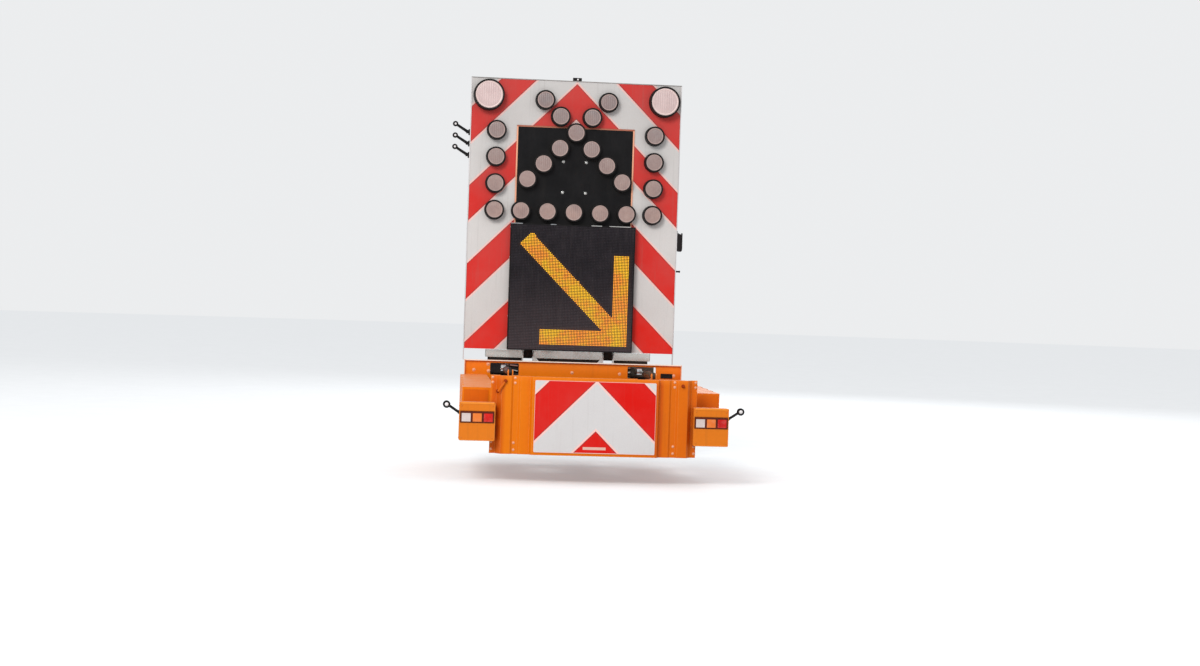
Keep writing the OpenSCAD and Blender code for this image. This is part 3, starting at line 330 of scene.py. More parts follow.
def sheeting(name, top, period, share, red, white, front, film=1.0, border=None, extra=None, middle=0.0):
    """Reflective sheeting on aluminium: bands with sealed edges, fine cells, a film of grime, and painted
    shade in the corners.
    """
    t = Tree(name)
    colour = banded(t, top, period, share, red(t) if callable(red) else red, white, middle)
    if border:
        colour = t.mix(t.step(t.outside(0.0, *border), -0.0015, 0.0), colour, SEAL)
    if extra:
        colour = extra(t, colour)
    hexes = t.cells(210.0, t.stretch(1.0, 0.0, 1.0))
    cloud = t.step(t.noise(2.3, 5.0, 0.6), 0.35, 0.75, 0.0, 0.13 * film)
    runs = t.step(t.grain(34.0, 34.0, 1.1, 5.0, 0.65), 0.56, 0.85, 0.0, 0.28 * film)
    low = t.step(t.z, top - 0.6, top - 3.0, 0.0, 0.07 * film)
    splash = t.mul(low, t.step(t.noise(70.0, 4.0, 0.7), 0.5, 0.75))
    # The last of these tones darkens the corners by occlusion: grime, and painted shade.
    for much, tone in ((t.step(hexes, 0.15, 0.6, 0.0, 0.07), (0.25, 0.15, 0.15)),
                       (cloud, (0.62, 0.57, 0.55)), (runs, (0.5, 0.46, 0.43)), (splash, (0.4, 0.36, 0.33)),
                       (t.step(t.z, 1.5, 2.9, 0.0, 0.18), (0.42, 0.38, 0.37)),
                       (t.mul(t.nook(0.06), 0.2), (0.3, 0.26, 0.24))):
        colour = t.mix(much, colour, tone)
    back = t.mix(t.step(t.grain(2.0, 2.0, 240.0), 0.3, 0.7), (0.76, 0.765, 0.77), (0.83, 0.835, 0.84))
    back = t.mix(t.step(t.noise(2.6, 6.0, 0.65), 0.4, 0.75, 0.0, 0.35), back, (0.66, 0.66, 0.65))
    is_back = t.m("GREATER_THAN", t.y, front)
    height = t.add(t.mul(hexes, 0.6), t.noise(3.0, 2.0))
    gloss = t.step(t.noise(6.0, 5.0), 0.3, 0.75, 0.34, 0.5)
    return t.finish(t.mix(is_back, colour, back), gloss, t.bump(height, 0.0002), 0.15,
                    Metallic=t.mul(is_back, 0.85))


# Mesh building, in the model's own frame

class Shape:
    """One mesh put together from simple forms."""

    def __init__(self):
        self.v, self.f, self.g, self.slot = [], [], [], 0

    def put(self, verts, faces):
        k = len(self.v)
        self.v += [tuple(p) for p in verts]
        self.f += [tuple(k + i for i in f) for f in faces]
        self.g += [self.slot] * len(faces)

    def block(self, lo, hi, c):
        """A box with bevelled edges."""
        bm = bmesh.new()
        bmesh.ops.create_cube(bm, size=1.0)
        for v in bm.verts:
            v.co = [hi[i] if v.co[i] > 0 else lo[i] for i in range(3)]
        bmesh.ops.bevel(bm, geom=bm.edges[:], offset=c, segments=1, affect="EDGES")
        bm.verts.index_update()
        self.put([v.co for v in bm.verts], [[v.index for v in f.verts] for f in bm.faces])
        bm.free()

    def twins(self, lo, hi, c):
        """A box with bevelled edges and its mirror image."""
        for s in SIDES:
            a, b = sorted((s * lo[0], s * hi[0]))
            self.block((a, *lo[1:]), (b, *hi[1:]), c)

    def lathe(self, at, axis, profile, seg, turn=0.0):
        """A turned form: profile is (radius, height) along the axis."""
        at, w = Vector(at), Vector(axis).normalized()
        u = w.orthogonal().normalized()
        v = w.cross(u)
        verts, rings, faces = [], [], []
        for r, h in profile:
            k, count = len(verts), seg if r else 1
            rings.append(range(k, k + count))
            for i in range(count):
                a = turn + 2 * math.pi * i / seg
                verts.append(at + w * h + (u * math.cos(a) + v * math.sin(a)) * r)
        for a, b in zip(rings, rings[1:]):
            for i in range(max(len(a), len(b))):
                q = (a[i % len(a)], a[(i + 1) % len(a)], b[(i + 1) % len(b)], b[i % len(b)])
                faces.append(dict.fromkeys(q))
        faces += [ring for ring in (rings[0], rings[-1]) if len(ring) > 1]
        self.put(verts, faces)

    def ring(self, at, profile, n=36):
        """A ring round an upright spot: profile is (radius, distance behind the spot) round its section."""
        x, y, z = at
        m = len(profile)
        turns = [2 * math.pi * i / n for i in range(n)]
        verts = [(x + r * math.cos(a), y + d, z + r * math.sin(a)) for a in turns for r, d in profile]
        faces = [[m * i + k, m * i + (k + 1) % m, m * j + (k + 1) % m, m * j + k]
                 for i in range(n) for j in [(i + 1) % n] for k in range(m)]
        self.put(verts, faces)

    def tube(self, path, radii, seg):
        """A round bar along a path, with one radius or one for each point."""
        pts = [Vector(p) for p in path]
        last = len(pts) - 1
        radii = [radii] * len(pts) if isinstance(radii, (int, float)) else radii
        side = None
        verts, faces = [], []
        for i, p in enumerate(pts):
            w = (pts[min(i + 1, last)] - pts[max(i - 1, 0)]).normalized()
            side = w.orthogonal() if side is None else side - w * side.dot(w)
            side.normalize()
            other = w.cross(side)
            for k in range(seg):
                q = 2 * math.pi * k / seg
                verts.append(p + (side * math.cos(q) + other * math.sin(q)) * radii[i])
        for a in range(0, last * seg, seg):
            faces += [[a + k, a + (k + 1) % seg, a + seg + (k + 1) % seg, a + seg + k] for k in range(seg)]
        faces += [range(seg), range(last * seg, (last + 1) * seg)]
        self.put(verts, faces)

    def welds(self, axis, start, end, spots, r=0.0035, sides=SIDES):
        """Rippled weld beads along an axis: spots are their places on the other two axes."""
        k = "xyz".index(axis)
        for s in sides:
            for spot in spots:
                a, b = (Vector((*spot[:k], h, *spot[k:])) * Vector((s, 1, 1)) for h in (start, end))
                n = max(3, int((b - a).length / 0.0075))
                radii = [r * (0.35 if i in (0, n) else (1.08 if i % 2 else 0.9)) for i in range(n + 1)]
                self.tube([a.lerp(b, i / n) for i in range(n + 1)], radii, 5)

    def bolt(self, at, axis, r, tall, washer=1.5, dome=False):
        """A hexagon or dome head on its washer. Each hexagon is turned a little differently."""
        t = 0.18 * r
        if washer:
            rim = r * washer
            self.lathe(at, axis, [(rim, 0), (rim, t), (rim * 0.93, t * 1.3), (r, t * 1.3)], 16)
        h = t * 1.3 if washer else 0
        if dome:
            self.lathe(at, axis, [(r, h), (r * 0.96, h + tall * 0.35), (r * 0.75, h + tall * 0.72),
                                  (r * 0.4, h + tall * 0.95), (0, h + tall)], 14)
        else:
            self.lathe(at, axis, [(r, h), (r, h + tall * 0.82), (r * 0.88, h + tall), (0, h + tall)], 6,
                       turn=(at[0] * 37 + at[2] * 53) % 1.05)

    def lens(self, at, thick, pitch, depth, half, crown=0.0, bars=12, square=False):
        """A cover on a spot, with upright ribs and a crowned face. half is its radius or half its side."""
        x, front, z = at
        cols = 4 * max(2, round(2 * half / pitch))
        reach = half * (1.0 if square else 0.9985)
        verts, faces = [], []
        for i in range(cols + 1):
            u = -reach + 2 * reach * i / cols
            tall = half if square else math.sqrt(max(0.0, half * half - u * u))
            rib = depth * abs(math.sin(math.pi * i / 4))
            for j in range(bars + 1):
                w = tall * (2 * j / bars - 1)
                rho = max(abs(u), abs(w)) / half if square else math.hypot(u, w) / half
                verts.append((x + u, front - crown * (1 - rho ** 2) - rib * (1 - rho ** 6), z + w))
        k = len(verts)
        verts += [(p[0], front + thick, p[2]) for p in verts]
        row = bars + 1
        for a in [row * i + j for i in range(cols) for j in range(bars)]:
            faces += [[a, a + row, a + row + 1, a + 1], [k + a, k + a + row, k + a + row + 1, k + a + 1]]
        last = cols * row
        rim = [*range(bars), *range(bars, last + bars, row)]
        rim += [*range(last + bars, last, -1), *range(last, 0, -row)]
        faces += [[a, b, k + b, k + a] for a, b in zip(rim, rim[1:] + rim[:1])]
        self.put(verts, faces)

    def make(self, name, body, slot, *mats, replaces=None, angle=35.0):
        """The finished piece, riding on its body. The shape is empty again after it."""
        mesh = bpy.data.meshes.new(name)
        mesh.from_pydata(self.v, [], self.f)
        for m in mats:
            mesh.materials.append(m)
        mesh.polygons.foreach_set("material_index", self.g)
        bm = bmesh.new()
        bm.from_mesh(mesh)
        bmesh.ops.recalc_face_normals(bm, faces=bm.faces)
        bm.to_mesh(mesh)
        bm.free()
        mesh.polygons.foreach_set("use_smooth", [True] * len(mesh.polygons))
        mesh.set_sharp_from_angle(angle=math.radians(angle))
        obj = bpy.data.objects.new(name, mesh)
        scene.collection.objects.link(obj)
        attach(obj, body)
        if replaces:
            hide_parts(replaces)
        self.__init__()


def surface(node):
    """Gives a function that finds where fittings sit on a plate's rear face."""
    mesh = NODES[node].data
    tree = BVHTree.FromPolygons([v.co for v in mesh.vertices], [p.vertices[:] for p in mesh.polygons])

    def seat(x, z):
        """The spot on the face, and the way out of it."""
        at, normal, _, _ = tree.ray_cast(Vector((x, -4, z)), Vector(FORE))
        return at, (-normal if normal.y > 0 else normal)
    return seat


# Materials

# The lit arrow: its tip, its two bars there, and its slanting shaft as sums and differences of x and z
TIP_X, TIP_Z, BAR_WIDE, BAR_TALL, BAR_LONG = 0.597, 0.389, 0.16, 0.936, 0.912
SHAFT_SUM, SHAFT_HALF, SHAFT_START = 0.992, 0.127, -1.972
DOTS, DOT_PITCH, DOT_LEFT, DOT_LOW = 80, 0.016, -0.632, 0.343


def dash(t, colour):
    """The narrow pale bar in the lowest triangle of the rear panel."""
    return t.mix(t.step(t.outside(0.0, 0.105, -0.487, 0.0125), 0.001, -0.001), colour, (0.9, 0.74, 0.68))


def display_material():
    """Black louvred mask with a faint glow between the lit lamps."""
    t = Tree("display_face")
    half, high, far = BAR_WIDE / 2, BAR_TALL / 2, BAR_LONG / 2
    upright = t.outside(TIP_X - half, half, TIP_Z + high, high)
    level = t.outside(TIP_X - far, far, TIP_Z + half, half)
    across = t.past(t.add(t.x, t.z), SHAFT_SUM, SHAFT_HALF)
    back = t.sub(SHAFT_START, t.sub(t.x, t.z))
    near = t.least(upright, level, t.most(across, back, t.sub(t.x, TIP_X), t.sub(TIP_Z, t.z)))
    halo = t.step(near, 0.035, 0.0, 0.0, 0.02)
    glow = t.most(t.mul(t.step(near, 0.006, -0.002), 0.04), halo)
    base = t.mix(t.step(t.noise(5.0, 4.0), 0.35, 0.7), (0.1, 0.088, 0.105), (0.155, 0.14, 0.16))
    base = t.mix(t.step(t.z, 1.1, 0.36, 0.0, 0.8), base, (0.29, 0.255, 0.27))
    row = t.m("FRACT", t.m("DIVIDE", t.sub(t.z, DOT_LOW - DOT_PITCH / 2), DOT_PITCH))
    line = t.size(t.sub(row, 0.5))
    base = t.mix(t.step(line, 0.32, 0.48, 0.0, 0.7), base, (0.03, 0.028, 0.032))
    runs = t.step(t.grain(30.0, 30.0, 2.0, 5.0, 0.7), 0.5, 0.85, 0.0, 0.22)
    base = t.mix(runs, base, (0.42, 0.39, 0.38))
    warm = t.mix(t.noise(30.0, 3.0), (1.0, 0.55, 0.08), (1.0, 0.72, 0.2))
    return t.finish(base, t.step(line, 0.2, 0.5, 0.45, 0.7), t.bump(line, 0.002), 0.12,
                    Emission_Color=warm, Emission_Strength=glow)


def dot_material():
    """The display's unlit dots, paler towards the foot."""
    t = Tree("led_off")
    soft = t.noise(9.0, 4.0)
    base = t.mix(t.step(soft, 0.3, 0.7), (0.215, 0.19, 0.215), (0.14, 0.122, 0.145))
    base = t.mix(t.step(t.z, 1.1, 0.36, 0.0, 0.8), base, (0.36, 0.32, 0.33))
    return t.finish(base, t.step(soft, 0.3, 0.7, 0.2, 0.34), t.bump(t.noise(600.0), 0.0001), 0.2)


def lit_dot_material():
    """The display's lit dots, whose tone changes in patches."""
    t = Tree("led_lit")
    warm = t.mix(t.step(t.noise(3.6, 4.0, 0.75), 0.42, 0.58), (1.0, 0.6, 0.22), (0.98, 0.86, 0.12))
    base = t.mix(t.noise(9.0, 4.0), (0.9, 0.6, 0.2), (0.85, 0.5, 0.15))
    strength = t.step(t.noise(40.0), 0.2, 0.8, 0.765, 0.9)
    return t.finish(base, 0.3, shine=0.2, Emission_Color=warm, Emission_Strength=strength)


def orange_tone_and_painted_light(t):
    """Orange paint, deeper in tone towards the right; darker on two folds of the rear plate as painted shade,
    and paler at the top as painted light.
    """
    side = t.step(t.add(t.x, t.mul(t.noise(1.3), 0.5)), -0.6, 1.1)
    tone = t.mix(side, (0.91, 0.475, 0.0), (0.865, 0.41, 0.0))
    # Darker bands on two folds of the rear plate: painted shade.
    left = t.mul(t.step(t.x, -0.95, -0.93), t.step(t.x, -0.815, -0.845))
    right = t.mul(t.step(t.x, 0.555, 0.565), t.step(t.x, 0.635, 0.62))
    fold_shade = t.mul(t.most(left, right), t.m("LESS_THAN", t.y, -2.7))
    tone = t.mix(t.mul(fold_shade, 0.75), tone, (0.81, 0.33, 0.0))
    # Paler at the top: painted light.
    return t.mix(t.step(t.z, 0.1, 0.17, 0.0, 0.9), tone, (0.955, 0.5, 0.12))


def edging(t):
    """The panel's edge strips: salmon at the sides, browner at the top as painted shade."""
    return t.mix(t.step(t.z, 2.63, 2.64), (0.96, 0.68, 0.55), (0.66, 0.38, 0.3))


def board_red(t):
    """The board's red, deeper and cleaner towards its foot."""
    return t.mix(t.step(t.z, 0.4, 1.3), (0.91, 0.12, 0.06), RED)


STRIPES = sheeting("board_sheeting", 3.545, 0.8138, 0.547, board_red, WHITE, SHEET_FRONT + 0.001)
CHEVRON = sheeting("rear_sheeting", 0.132, 0.881, 0.522, (0.87, 0.05, 0.0), (0.86, 0.85, 0.85), -2.8545,
                   film=0.6, border=(0.553, -0.204, 0.3245), extra=dash, middle=0.009)
# The tone for faces that look up: dust, and a painted sheen.
AMBER_PALE, DUST_AND_SHEEN = (0.99, 0.6, 0.1), (0.92, 0.72, 0.58)
PRIMER, SCRAPED = (0.42, 0.3, 0.22), (0.5, 0.42, 0.36)
# The rim tones of the orange paints are a painted highlight on their edges, with wear.
ORANGE_PAINT = coated("orange_paint", None, 0.4, PRIMER, 0.5, grime_and_shade=0.25, radius=0.006, paint=orange_tone_and_painted_light,
                      pale=AMBER_PALE, rim=(0.95, 0.66, 0.4), dust_and_sheen=DUST_AND_SHEEN)
ORANGE_DEEP = coated("orange_deep", (0.84, 0.39, 0.0), 0.42, PRIMER, 0.4, grime_and_shade=0.3, pale=AMBER_PALE)
# Pale orange for painted bolts, and a painted highlight on the front plate's end strips; the next tone is a
# painted highlight along its top edge.
PALE_PAINT_AND_EDGE_HIGHLIGHT = coated("pale_paint_and_edge_highlight", (0.95, 0.7, 0.56), 0.4, (0.6, 0.5, 0.42), 0.4, grime_and_shade=0.3, radius=0.002)
TOP_EDGE_HIGHLIGHT = coated("top_edge_painted_highlight", (1.0, 0.92, 0.86), 0.4, (0.7, 0.6, 0.52), 0.3, grime_and_shade=0.1,
                    radius=0.002)
BOX_PAINT = coated("orange_box_paint", (0.885, 0.475, 0.09), 0.42, SCRAPED, 0.35, grime_and_shade=0.3, radius=0.005,
                   pale=(0.99, 0.66, 0.3), rim=(0.96, 0.62, 0.32), dust_and_sheen=DUST_AND_SHEEN)
# Lighter orange for the lamp boxes' edge strips: a painted highlight.
BOX_EDGE_HIGHLIGHT = coated("box_edge_painted_highlight", (0.95, 0.56, 0.17), 0.42, SCRAPED, 0.35, grime_and_shade=0.2)
TRIM_PAINT = coated("trim_paint", None, 0.45, (0.7, 0.6, 0.5), 0.6, grime_and_shade=0.5, radius=0.002, paint=edging)
FRAME_PAINT = coated("frame_paint", (0.1, 0.095, 0.105), 0.5, (0.3, 0.22, 0.17), 0.6, (0.22, 0.18, 0.15))
BARREL_PAINT = coated("cylinder_paint", (0.13, 0.12, 0.13), 0.36, (0.4, 0.33, 0.28), 0.6, (0.3, 0.25, 0.2))
PIPE_PAINT = coated("pipe_paint", (0.62, 0.46, 0.43), 0.4, (0.5, 0.45, 0.42), 0.4, fade=0.03)
LEVER_PAINT = coated("lever_paint", (0.6, 0.2, 0.0), 0.45, (0.35, 0.2, 0.15), 0.5, pale=(0.7, 0.32, 0.1))
ZINC = metal("zinc", (0.74, 0.76, 0.78), 0.4)
# Paler copies of the zinc as painted light: the hinge beam's is raised against the shade under the board, and
# the cheeks' shows their lit edges.
ZINC_BRIGHT = metal("zinc_bright", (0.925, 0.957, 0.941), 0.2, (1.0, 7.0, 7.0), 0.05, depth=0.000004)
ZINC_PALE = metal("zinc_pale", (0.97, 0.98, 0.97), 0.3, (20.0, 20.0, 3.0), 0.05, bare=0.3)
ZINC_DARK = metal("zinc_aged", (0.62, 0.64, 0.66), 0.44, grime_and_shade=0.4)
MILL = metal("mill_aluminium", (0.84, 0.84, 0.84), 0.34, (3.0, 3.0, 60.0), 0.35)
EDGE_ALU = metal("edge_aluminium", (0.87, 0.85, 0.85), 0.36, (55.0, 55.0, 2.0), 0.4)
BRIGHT = metal("bright_fixings", (0.86, 0.86, 0.85), 0.27, (90.0, 90.0, 90.0), 0.4, 0.001)
STEEL = metal("turned_steel", (0.66, 0.65, 0.63), 0.33, (160.0, 10.0, 10.0), 0.5)
CHROME = metal("rod_chrome", (0.86, 0.87, 0.88), 0.14, (6.0, 60.0, 6.0), 0.12)
BLACK_SHEET = moulded("black_sheet", (0.062, 0.06, 0.066), 0.6, 0.13, shine=0.1)
BLACK_BOX = moulded("display_box", (0.05, 0.045, 0.052), 0.55, 0.25)
LAMP_BLACK = moulded("lamp_housing", (0.055, 0.045, 0.05), 0.5, 0.22)
RUBBER = moulded("rubber", (0.05, 0.046, 0.05), 0.72, 0.25, 300.0, 0.0003)
LATCH_BLACK = moulded("latch_plastic", (0.09, 0.075, 0.08), 0.45, 0.2)
TOP_STRIP_GREY = moulded("top_strip_grey", (0.5, 0.485, 0.475), 0.55, 0.2)
LENS_FRAME = moulded("lens_frame", (0.3, 0.1, 0.04), 0.4, 0.15)
# The rim tones are paler than their lenses: a painted highlight.
SMALL_LENS = glassy("small_lens", (0.71, 0.6, 0.565), (0.59, 0.5, 0.485), (0.53, 0.495, 0.5))
SMALL_RIM_HIGHLIGHT = glassy("small_lens_rim_highlight", (0.74, 0.645, 0.62), (0.66, 0.57, 0.55))
LARGE_LENS = glassy("large_lens", (0.87, 0.775, 0.765), (0.78, 0.685, 0.68))
LARGE_RIM_HIGHLIGHT = glassy("large_lens_rim_highlight", (0.94, 0.845, 0.83), (0.87, 0.77, 0.75))
CLEAR_LENS = glassy("clear_lens", (0.93, 0.87, 0.85), (0.76, 0.7, 0.68))
AMBER_LENS = glassy("amber_lens", (0.97, 0.56, 0.25), (0.88, 0.42, 0.13))
RED_LENS = glassy("red_lens", (0.9, 0.12, 0.09), (0.7, 0.02, 0.02))
MARKER_LENS = glassy("marker_lens", (0.97, 0.95, 0.95), (0.86, 0.84, 0.84))
DISPLAY = display_material()
LED_OFF, LED_LIT = dot_material(), lit_dot_material()

FINISH = {
    FRAME_PAINT: "mount_plate base_crossbeam base_arm_left base_arm_right base_gussets anchor_arms "
                 "board_arms",
    ZINC: "uprights", ZINC_BRIGHT: "hinge_beam", ZINC_PALE: "hinge_cheeks", STEEL: "hinge_pins",
    STRIPES: "board_sheet", EDGE_ALU: "edge_frame", MILL: "crossbars_back", BLACK_SHEET: "lamp_panel",
    TRIM_PAINT: "panel_trim", BLACK_BOX: "display_housing", DISPLAY: "display_face",
    LAMP_BLACK: "flashers arrow_lamps light_sensor marker_arms",
    SMALL_LENS: "arrow_lenses", LARGE_LENS: "flasher_lenses", RUBBER: "eye_arms", LATCH_BLACK: "side_latch",
    ORANGE_PAINT: "front_plate cushion_lugs beam_left beam_right cross_plates barrel_brackets rear_plate",
    ZINC_DARK: "absorbers", CHEVRON: "chevron_panel", BOX_PAINT: "lamp_box_left lamp_box_right",
    CLEAR_LENS: "lenses_white", AMBER_LENS: "lenses_amber", RED_LENS: "lenses_red",
    MARKER_LENS: "marker_lenses", BARREL_PAINT: "barrel_left barrel_right", CHROME: "rod_left rod_right",
}
for material, names in FINISH.items():
    for name in names.split():
        mesh = NODES[name].data
        mesh.materials.clear()
        mesh.materials.append(material)
        mesh.polygons.foreach_set("material_index", [0] * len(mesh.polygons))


# Lamps of the crossed arrow and the two flashers

STEP, SLANT, LOW = 0.275, 0.165, 1.763
PEAK = LOW + 3 * STEP
ARROW_LAMPS = [(i * STEP, LOW) for i in range(-3, 4)]
ARROW_LAMPS += [(s * 3 * STEP, LOW + j * STEP) for s in SIDES for j in (1, 2, 3)]
ARROW_LAMPS += [(0.0, PEAK)] + [(s * SLANT * i, PEAK - SLANT * i) for s in SIDES for i in (1, 2, 3)]
ARROW_LAMPS += [(s * SLANT * i, PEAK + SLANT * i) for s in SIDES for i in (1, 2)]
FLASHERS = [(s * 0.916, 2.947) for s in SIDES]
part, bezels, feet, screws = Shape(), Shape(), Shape(), Shape()


def dress_lamps(spots, front, sunk, cover, rim, bezel, seg):
    """Ribbed covers and their rims, which carry a painted highlight in a paler tone, and a bezel round each.
    Depths go back from the housings' front.
    """
    covers = Shape()
    for x, z in spots:
        covers.slot = 0
        covers.lens((x, front + sunk, z), **cover)
        covers.slot = 1
        covers.ring((x, front, z), rim, seg)
        bezels.ring((x, front, z), bezel, seg)
    return covers


def fix_lamps(spots, front, r, count, first):
    """Clamp screws at a housing's rim, from a first angle on, and the ring round its foot."""
    half, top = span("lamp_panel", "x")[1], span("lamp_panel", "z")[1]
    for x, z in spots:
        on_panel = abs(x) < half and z < top
        for k in range(count):
            a = math.radians(first + 360 * k / count)
            at = (x + (r - 0.0055) * math.cos(a), front + 0.0008, z + (r - 0.0055) * math.sin(a))
            screws.lathe(at, REAR, [(0.0036, 0), (0.0036, 0.0012), (0.002, 0.0022), (0, 0.0024)], 8)
        feet.ring((x, PANEL_FRONT if on_panel else SHEET_FRONT, z),
                  [(r, 0), (r + 0.0035, 0), (r + 0.0035, -0.004), (r, -0.0075)])


covers = dress_lamps(
    ARROW_LAMPS, LAMP_FRONT, 0.0095, dict(thick=0.0165, pitch=0.021, depth=0.003, half=0.084, crown=0.0025),
    [(0.0745, 0.016), (0.0745, 0.0075), (0.078, 0.0057), (0.082, 0.0064), (0.0845, 0.009), (0.0845, 0.016)],
    [(0.0844, 0.026), (0.0844, 0.0065), (0.0862, 0.0035), (0.0884, 0.003), (0.0884, 0.026)], 36)
covers.make("arrow_lens_covers", "board", "lens_mauve", SMALL_LENS, SMALL_RIM_HIGHLIGHT, replaces="arrow_lenses")
covers = dress_lamps(
    FLASHERS, FLASHER_FRONT, 0.0165,
    dict(thick=0.0215, pitch=0.0236, depth=0.0032, half=0.1415, crown=0.006, bars=18),
    [(0.124, 0.022), (0.124, 0.0125), (0.1295, 0.0098), (0.137, 0.0108), (0.142, 0.015), (0.142, 0.022)],
    [(0.1419, 0.038), (0.1419, 0.0115), (0.1436, 0.0075), (0.1454, 0.006), (0.1454, 0.038)], 56)
covers.make("flasher_lens_covers", "board", "lens_pale", LARGE_LENS, LARGE_RIM_HIGHLIGHT, replaces="flasher_lenses")
bezels.make("lamp_bezels", "board", "lamp_black", LAMP_BLACK)
fix_lamps(ARROW_LAMPS, LAMP_FRONT, 0.1, 3, 90)
fix_lamps(FLASHERS, FLASHER_FRONT, 0.158, 4, 135)
feet.make("lamp_foot_rings", "board", "black_rubber", RUBBER)
screws.make("lamp_rim_screws", "board", "lamp_black", LAMP_BLACK)


# Matrix display

def lit(x, z):
    """Whether a dot belongs to the slanting arrow."""
    upright = x > TIP_X - BAR_WIDE and z < TIP_Z + BAR_TALL
    level = z < TIP_Z + BAR_WIDE and x > TIP_X - BAR_LONG
    shaft = abs(x + z - SHAFT_SUM) < SHAFT_HALF and x - z > SHAFT_START
    return x <= TIP_X and z >= TIP_Z and (upright or level or shaft)


# Each dot is a six-sided dome, open at its back
off, on = Shape(), Shape()
DOT_BASE, DOT_TALL, DOT_RISE = DISPLAY_FRONT + 0.0002, 0.0042, ((1.0, 0.0), (0.92, 0.45), (0.55, 0.85))
TURNS = [math.pi * (k + 0.5) / 3 for k in range(6)]
DOT_FACES = [[a + k, a + (k + 1) % 6, a + 6 + (k + 1) % 6, a + 6 + k] for a in (0, 6) for k in range(6)]
DOT_FACES += [[12 + k, 12 + (k + 1) % 6, 18] for k in range(6)]
for i in range(DOTS):
    for j in range(DOTS):
        x, z = DOT_LEFT + DOT_PITCH * i, DOT_LOW + DOT_PITCH * j
        r = 0.0064 if lit(x, z) else 0.0056
        verts = [(x + r * q * math.cos(a), DOT_BASE - h * DOT_TALL, z + r * q * math.sin(a))
                 for q, h in DOT_RISE for a in TURNS]
        (on if lit(x, z) else off).put(verts + [(x, DOT_BASE - DOT_TALL, z)], DOT_FACES)
off.make("led_dots_off", "board", "display_dots", LED_OFF, angle=80)
on.make("led_dots_lit", "board", "display_dots", LED_LIT, angle=80)

# Bezel round the display, with screws in the housing's sides
STRIP = 0.009
front, back = DISPLAY_FRONT - 0.0025, DISPLAY_FRONT + 0.006
for z in (HOUSE_LOW, HOUSE_TOP - STRIP):
    part.block((-HOUSE_HALF, front, z), (HOUSE_HALF, back, z + STRIP), 0.0015)
for x in (-HOUSE_HALF, HOUSE_HALF - STRIP):
    part.block((x, front, HOUSE_LOW + 0.0095), (x + STRIP, back, HOUSE_TOP - 0.0095), 0.0015)
part.slot = 1
for s in SIDES:
    for z in (0.36, 0.67, 0.975, 1.28, 1.59):
        part.bolt((s * HOUSE_HALF, -0.19, z), (s, 0, 0), 0.005, 0.004)
part.make("display_bezel", "board", "display_black", BLACK_BOX, BRIGHT)

for a, b, k in ((-0.65, -0.528, 1), (-0.238, -0.18, 1), (0.186, 0.296, 0), (0.375, 0.6, 0)):
    part.slot = k
    lip, top = DISPLAY_FRONT - 0.0005, HOUSE_TOP + 0.0035
    part.block((a, lip, HOUSE_TOP + 0.0002), (b, -0.2, top), 0.0012)
    part.block((a, lip - 0.003, HOUSE_TOP - 0.0045), (b, lip, top), 0.0012)
part.make("display_top_clips", "board", "aluminium", BRIGHT, ZINC_DARK)

for x in (-0.12, 0.12):
    for z in (1.968, 2.288):
        part.bolt((x, PANEL_FRONT, z), REAR, 0.011, 0.009, 1.35, True)
part.slot = 1
for s in SIDES:
    for x, z in ((0.578, 1.66), (0.578, 1.95), (0.578, 2.28), (0.578, 2.6), (0.36, 2.615)):
        part.bolt((s * x, PANEL_FRONT, z), REAR, 0.005, 0.003, 1.2, True)
part.make("lamp_panel_bolts", "board", "pin_steel", BRIGHT, LAMP_BLACK)


# Fittings on the board's edges

part.lathe((0.004, SHEET_FRONT - 0.0005, 3.146), REAR,
           [(0.0095, 0), (0.0095, 0.002), (0.007, 0.0045), (0, 0.006)], 18)
part.make("light_sensor_eye", "board", "lens_white", MARKER_LENS)

# Rubber sleeves, root bolts and eye lenses of the three marker stalks
sleeves, eyes = Shape(), Shape()
POINTS = 24
for z in (2.32, 2.438, 2.556):
    root, tip = Vector((-EDGE - 0.0125, EDGE_Y, z)), Vector((-EDGE - 0.15, EDGE_Y, z + 0.082))
    way = (tip - root).normalized() * ((tip - root).length - 0.026)
    path, radii = [], []
    for i in range(POINTS + 1):
        q = i / POINTS
        path.append(root + way * q + Vector((0, 0, -0.0015 * math.sin(math.pi * q))))
        radii.append((0.0155 - 0.002 * q) * (0.94 if i in (2, 4, 6, 8) else 1.0))
    sleeves.tube(path, radii, 14)
    sleeves.lathe(root, (-1, 0, 0),
                  [(0, -0.0005), (0.0135, -0.0005), (0.0145, 0.004), (0.0125, 0.012), (0, 0.016)], 18)
    for s in SIDES:
        eyes.lathe(tip + Vector((0, -0.0045 * s, 0)), (0, -s, 0),
                   [(0.0118, 0), (0.0112, 0.002), (0.0075, 0.0045), (0, 0.006)], 20)
        sleeves.bolt((-EDGE - 0.012, EDGE_Y, z + 0.021 * s), (-1, 0, 0), 0.0045, 0.004)
sleeves.make("marker_stalk_sleeves", "board", "black_rubber", RUBBER)
eyes.make("marker_stalk_lenses", "board", "lens_white", MARKER_LENS)

part.block((EDGE, EDGE_Y - 0.0125, LATCH_Z - 0.104), (EDGE + 0.0035, EDGE_Y + 0.0125, LATCH_Z + 0.104), 0.001)
for y in (EDGE_Y - 0.007, EDGE_Y + 0.007):
    hook = ((0.022, -0.06), (0.024, -0.088), (0.016, -0.1))
    part.tube([(EDGE + out, y, LATCH_Z + up) for out, up in hook], 0.0032, 8)
part.lathe((EDGE + 0.022, EDGE_Y, LATCH_Z - 0.064), (0, 0, 1), [(0.0155, 0), (0.0155, 0.01), (0, 0.01)], 20)
part.make("side_latch_ends", "board", "pin_steel", BRIGHT)

